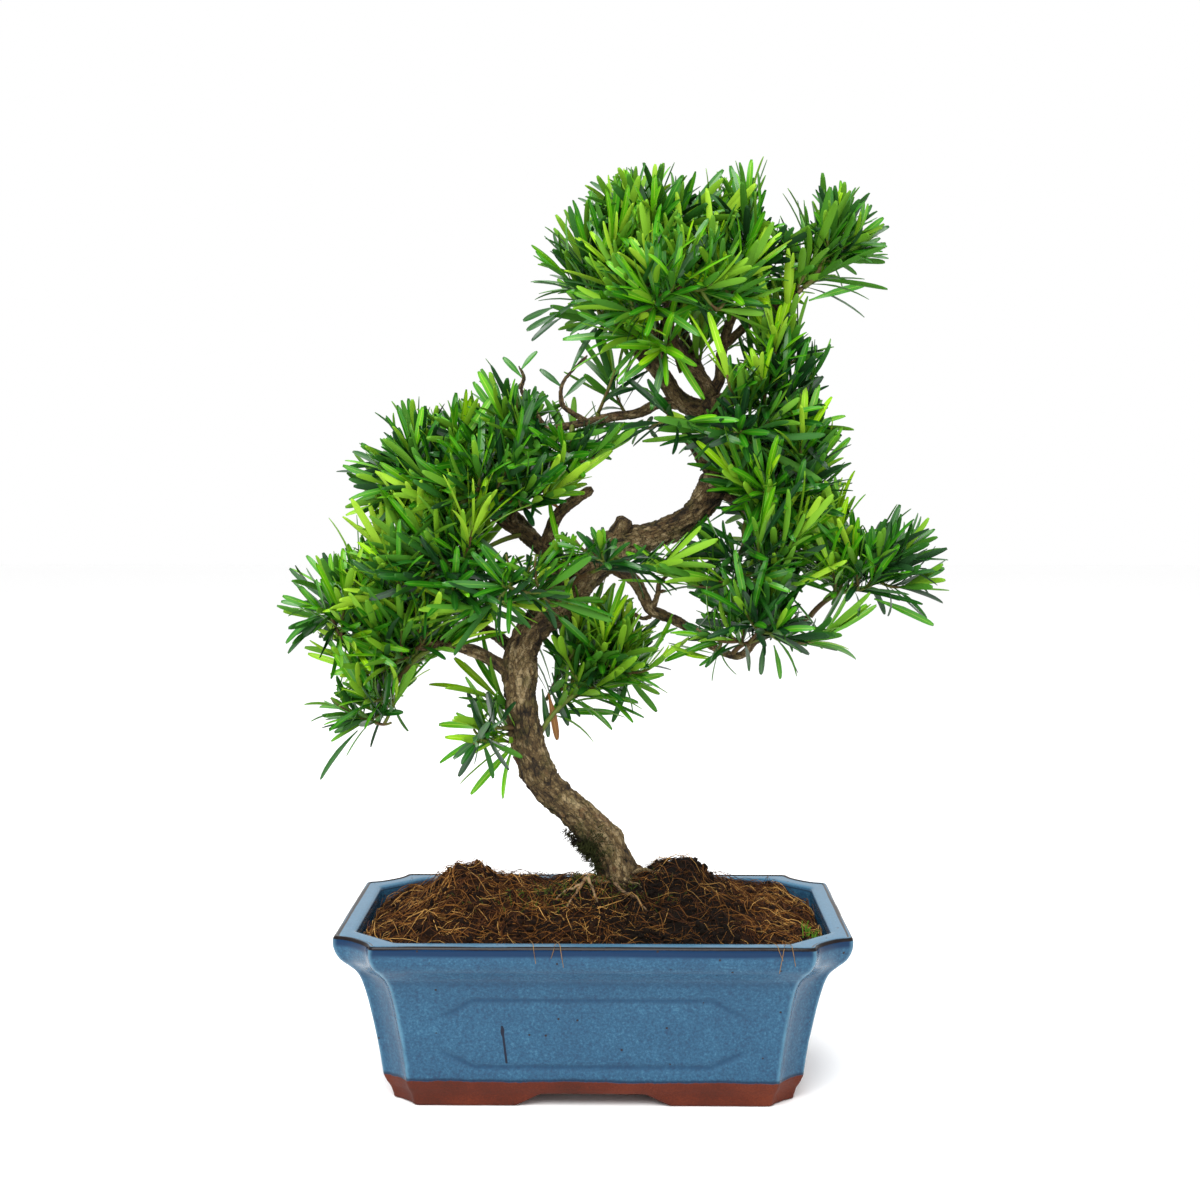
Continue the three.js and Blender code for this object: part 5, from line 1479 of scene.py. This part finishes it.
class StageSizes(bpy.types.PropertyGroup):
    floor_colour: colour_setting("Floor", "Colour of the floor", (0.97, 0.97, 0.97))
    sky_colour: colour_setting("Sky", "Colour of the even light", (1.0, 1.0, 1.0))
    sky_strength: number_setting("Sky strength", "Brightness of the even light", 1.0)
    key_watts: number_setting("Key", "Power of the main lamp", 55.0)
    fill_watts: number_setting("Fill", "Power of the fill lamp", 4.0)
    top_watts: number_setting("Top", "Power of the top lamp", 10.0)


class BONSAI_OT_pot(bpy.types.Operator):
    """Makes the glazed pot"""
    bl_idname = "bonsai.pot"
    bl_label = "Make pot"

    def execute(self, context):
        make_pot(context.scene.bonsai_pot)
        return {"FINISHED"}


class BONSAI_OT_soil(bpy.types.Operator):
    """Makes the soil bed with its fibres and crumbs"""
    bl_idname = "bonsai.soil"
    bl_label = "Make soil"

    def execute(self, context):
        make_soil(context.scene.bonsai_soil)
        return {"FINISHED"}


class BONSAI_OT_wood(bpy.types.Operator):
    """Makes the bark of the trunk, the boughs and the roots"""
    bl_idname = "bonsai.wood"
    bl_label = "Make wood"

    def execute(self, context):
        make_wood(context.scene.bonsai_wood)
        return {"FINISHED"}


class BONSAI_OT_foliage(bpy.types.Operator):
    """Grows the twigs and the leaves"""
    bl_idname = "bonsai.foliage"
    bl_label = "Grow foliage"

    def execute(self, context):
        make_foliage(context.scene.bonsai_foliage)
        return {"FINISHED"}


class BONSAI_OT_stage(bpy.types.Operator):
    """Makes the floor, the lamps and the camera"""
    bl_idname = "bonsai.stage"
    bl_label = "Make stage"

    def execute(self, context):
        make_stage(context.scene.bonsai_stage)
        return {"FINISHED"}


SIZES = {"bonsai_pot": PotSizes, "bonsai_soil": SoilSizes, "bonsai_wood": WoodSizes,
         "bonsai_foliage": FoliageSizes, "bonsai_stage": StageSizes}
OPERATORS = (BONSAI_OT_pot, BONSAI_OT_soil, BONSAI_OT_wood, BONSAI_OT_foliage, BONSAI_OT_stage)


class BONSAI_PT_panel(bpy.types.Panel):
    """Lists the makers and their sizes"""
    bl_idname = "BONSAI_PT_panel"
    bl_label = "Bonsai"
    bl_space_type = "VIEW_3D"
    bl_region_type = "UI"
    bl_category = "Bonsai"

    def draw(self, context):
        for operator, (group, sizes) in zip(OPERATORS, SIZES.items()):
            box = self.layout.box()
            for name in sizes.__annotations__:
                box.prop(getattr(context.scene, group), name)
            box.operator(operator.bl_idname)


def register():
    for kind in (*SIZES.values(), *OPERATORS, BONSAI_PT_panel):
        bpy.utils.register_class(kind)
    for name, kind in SIZES.items():
        setattr(bpy.types.Scene, name, bpy.props.PointerProperty(type=kind))


def unregister():
    for name in SIZES:
        delattr(bpy.types.Scene, name)
    for kind in (BONSAI_PT_panel, *reversed(OPERATORS), *reversed(SIZES.values())):
        bpy.utils.unregister_class(kind)


def main():
    """Makes every piece."""
    register()
    for operator in OPERATORS:
        getattr(bpy.ops.bonsai, operator.bl_idname.split(".")[1])()


if __name__ == "__main__":
    main()
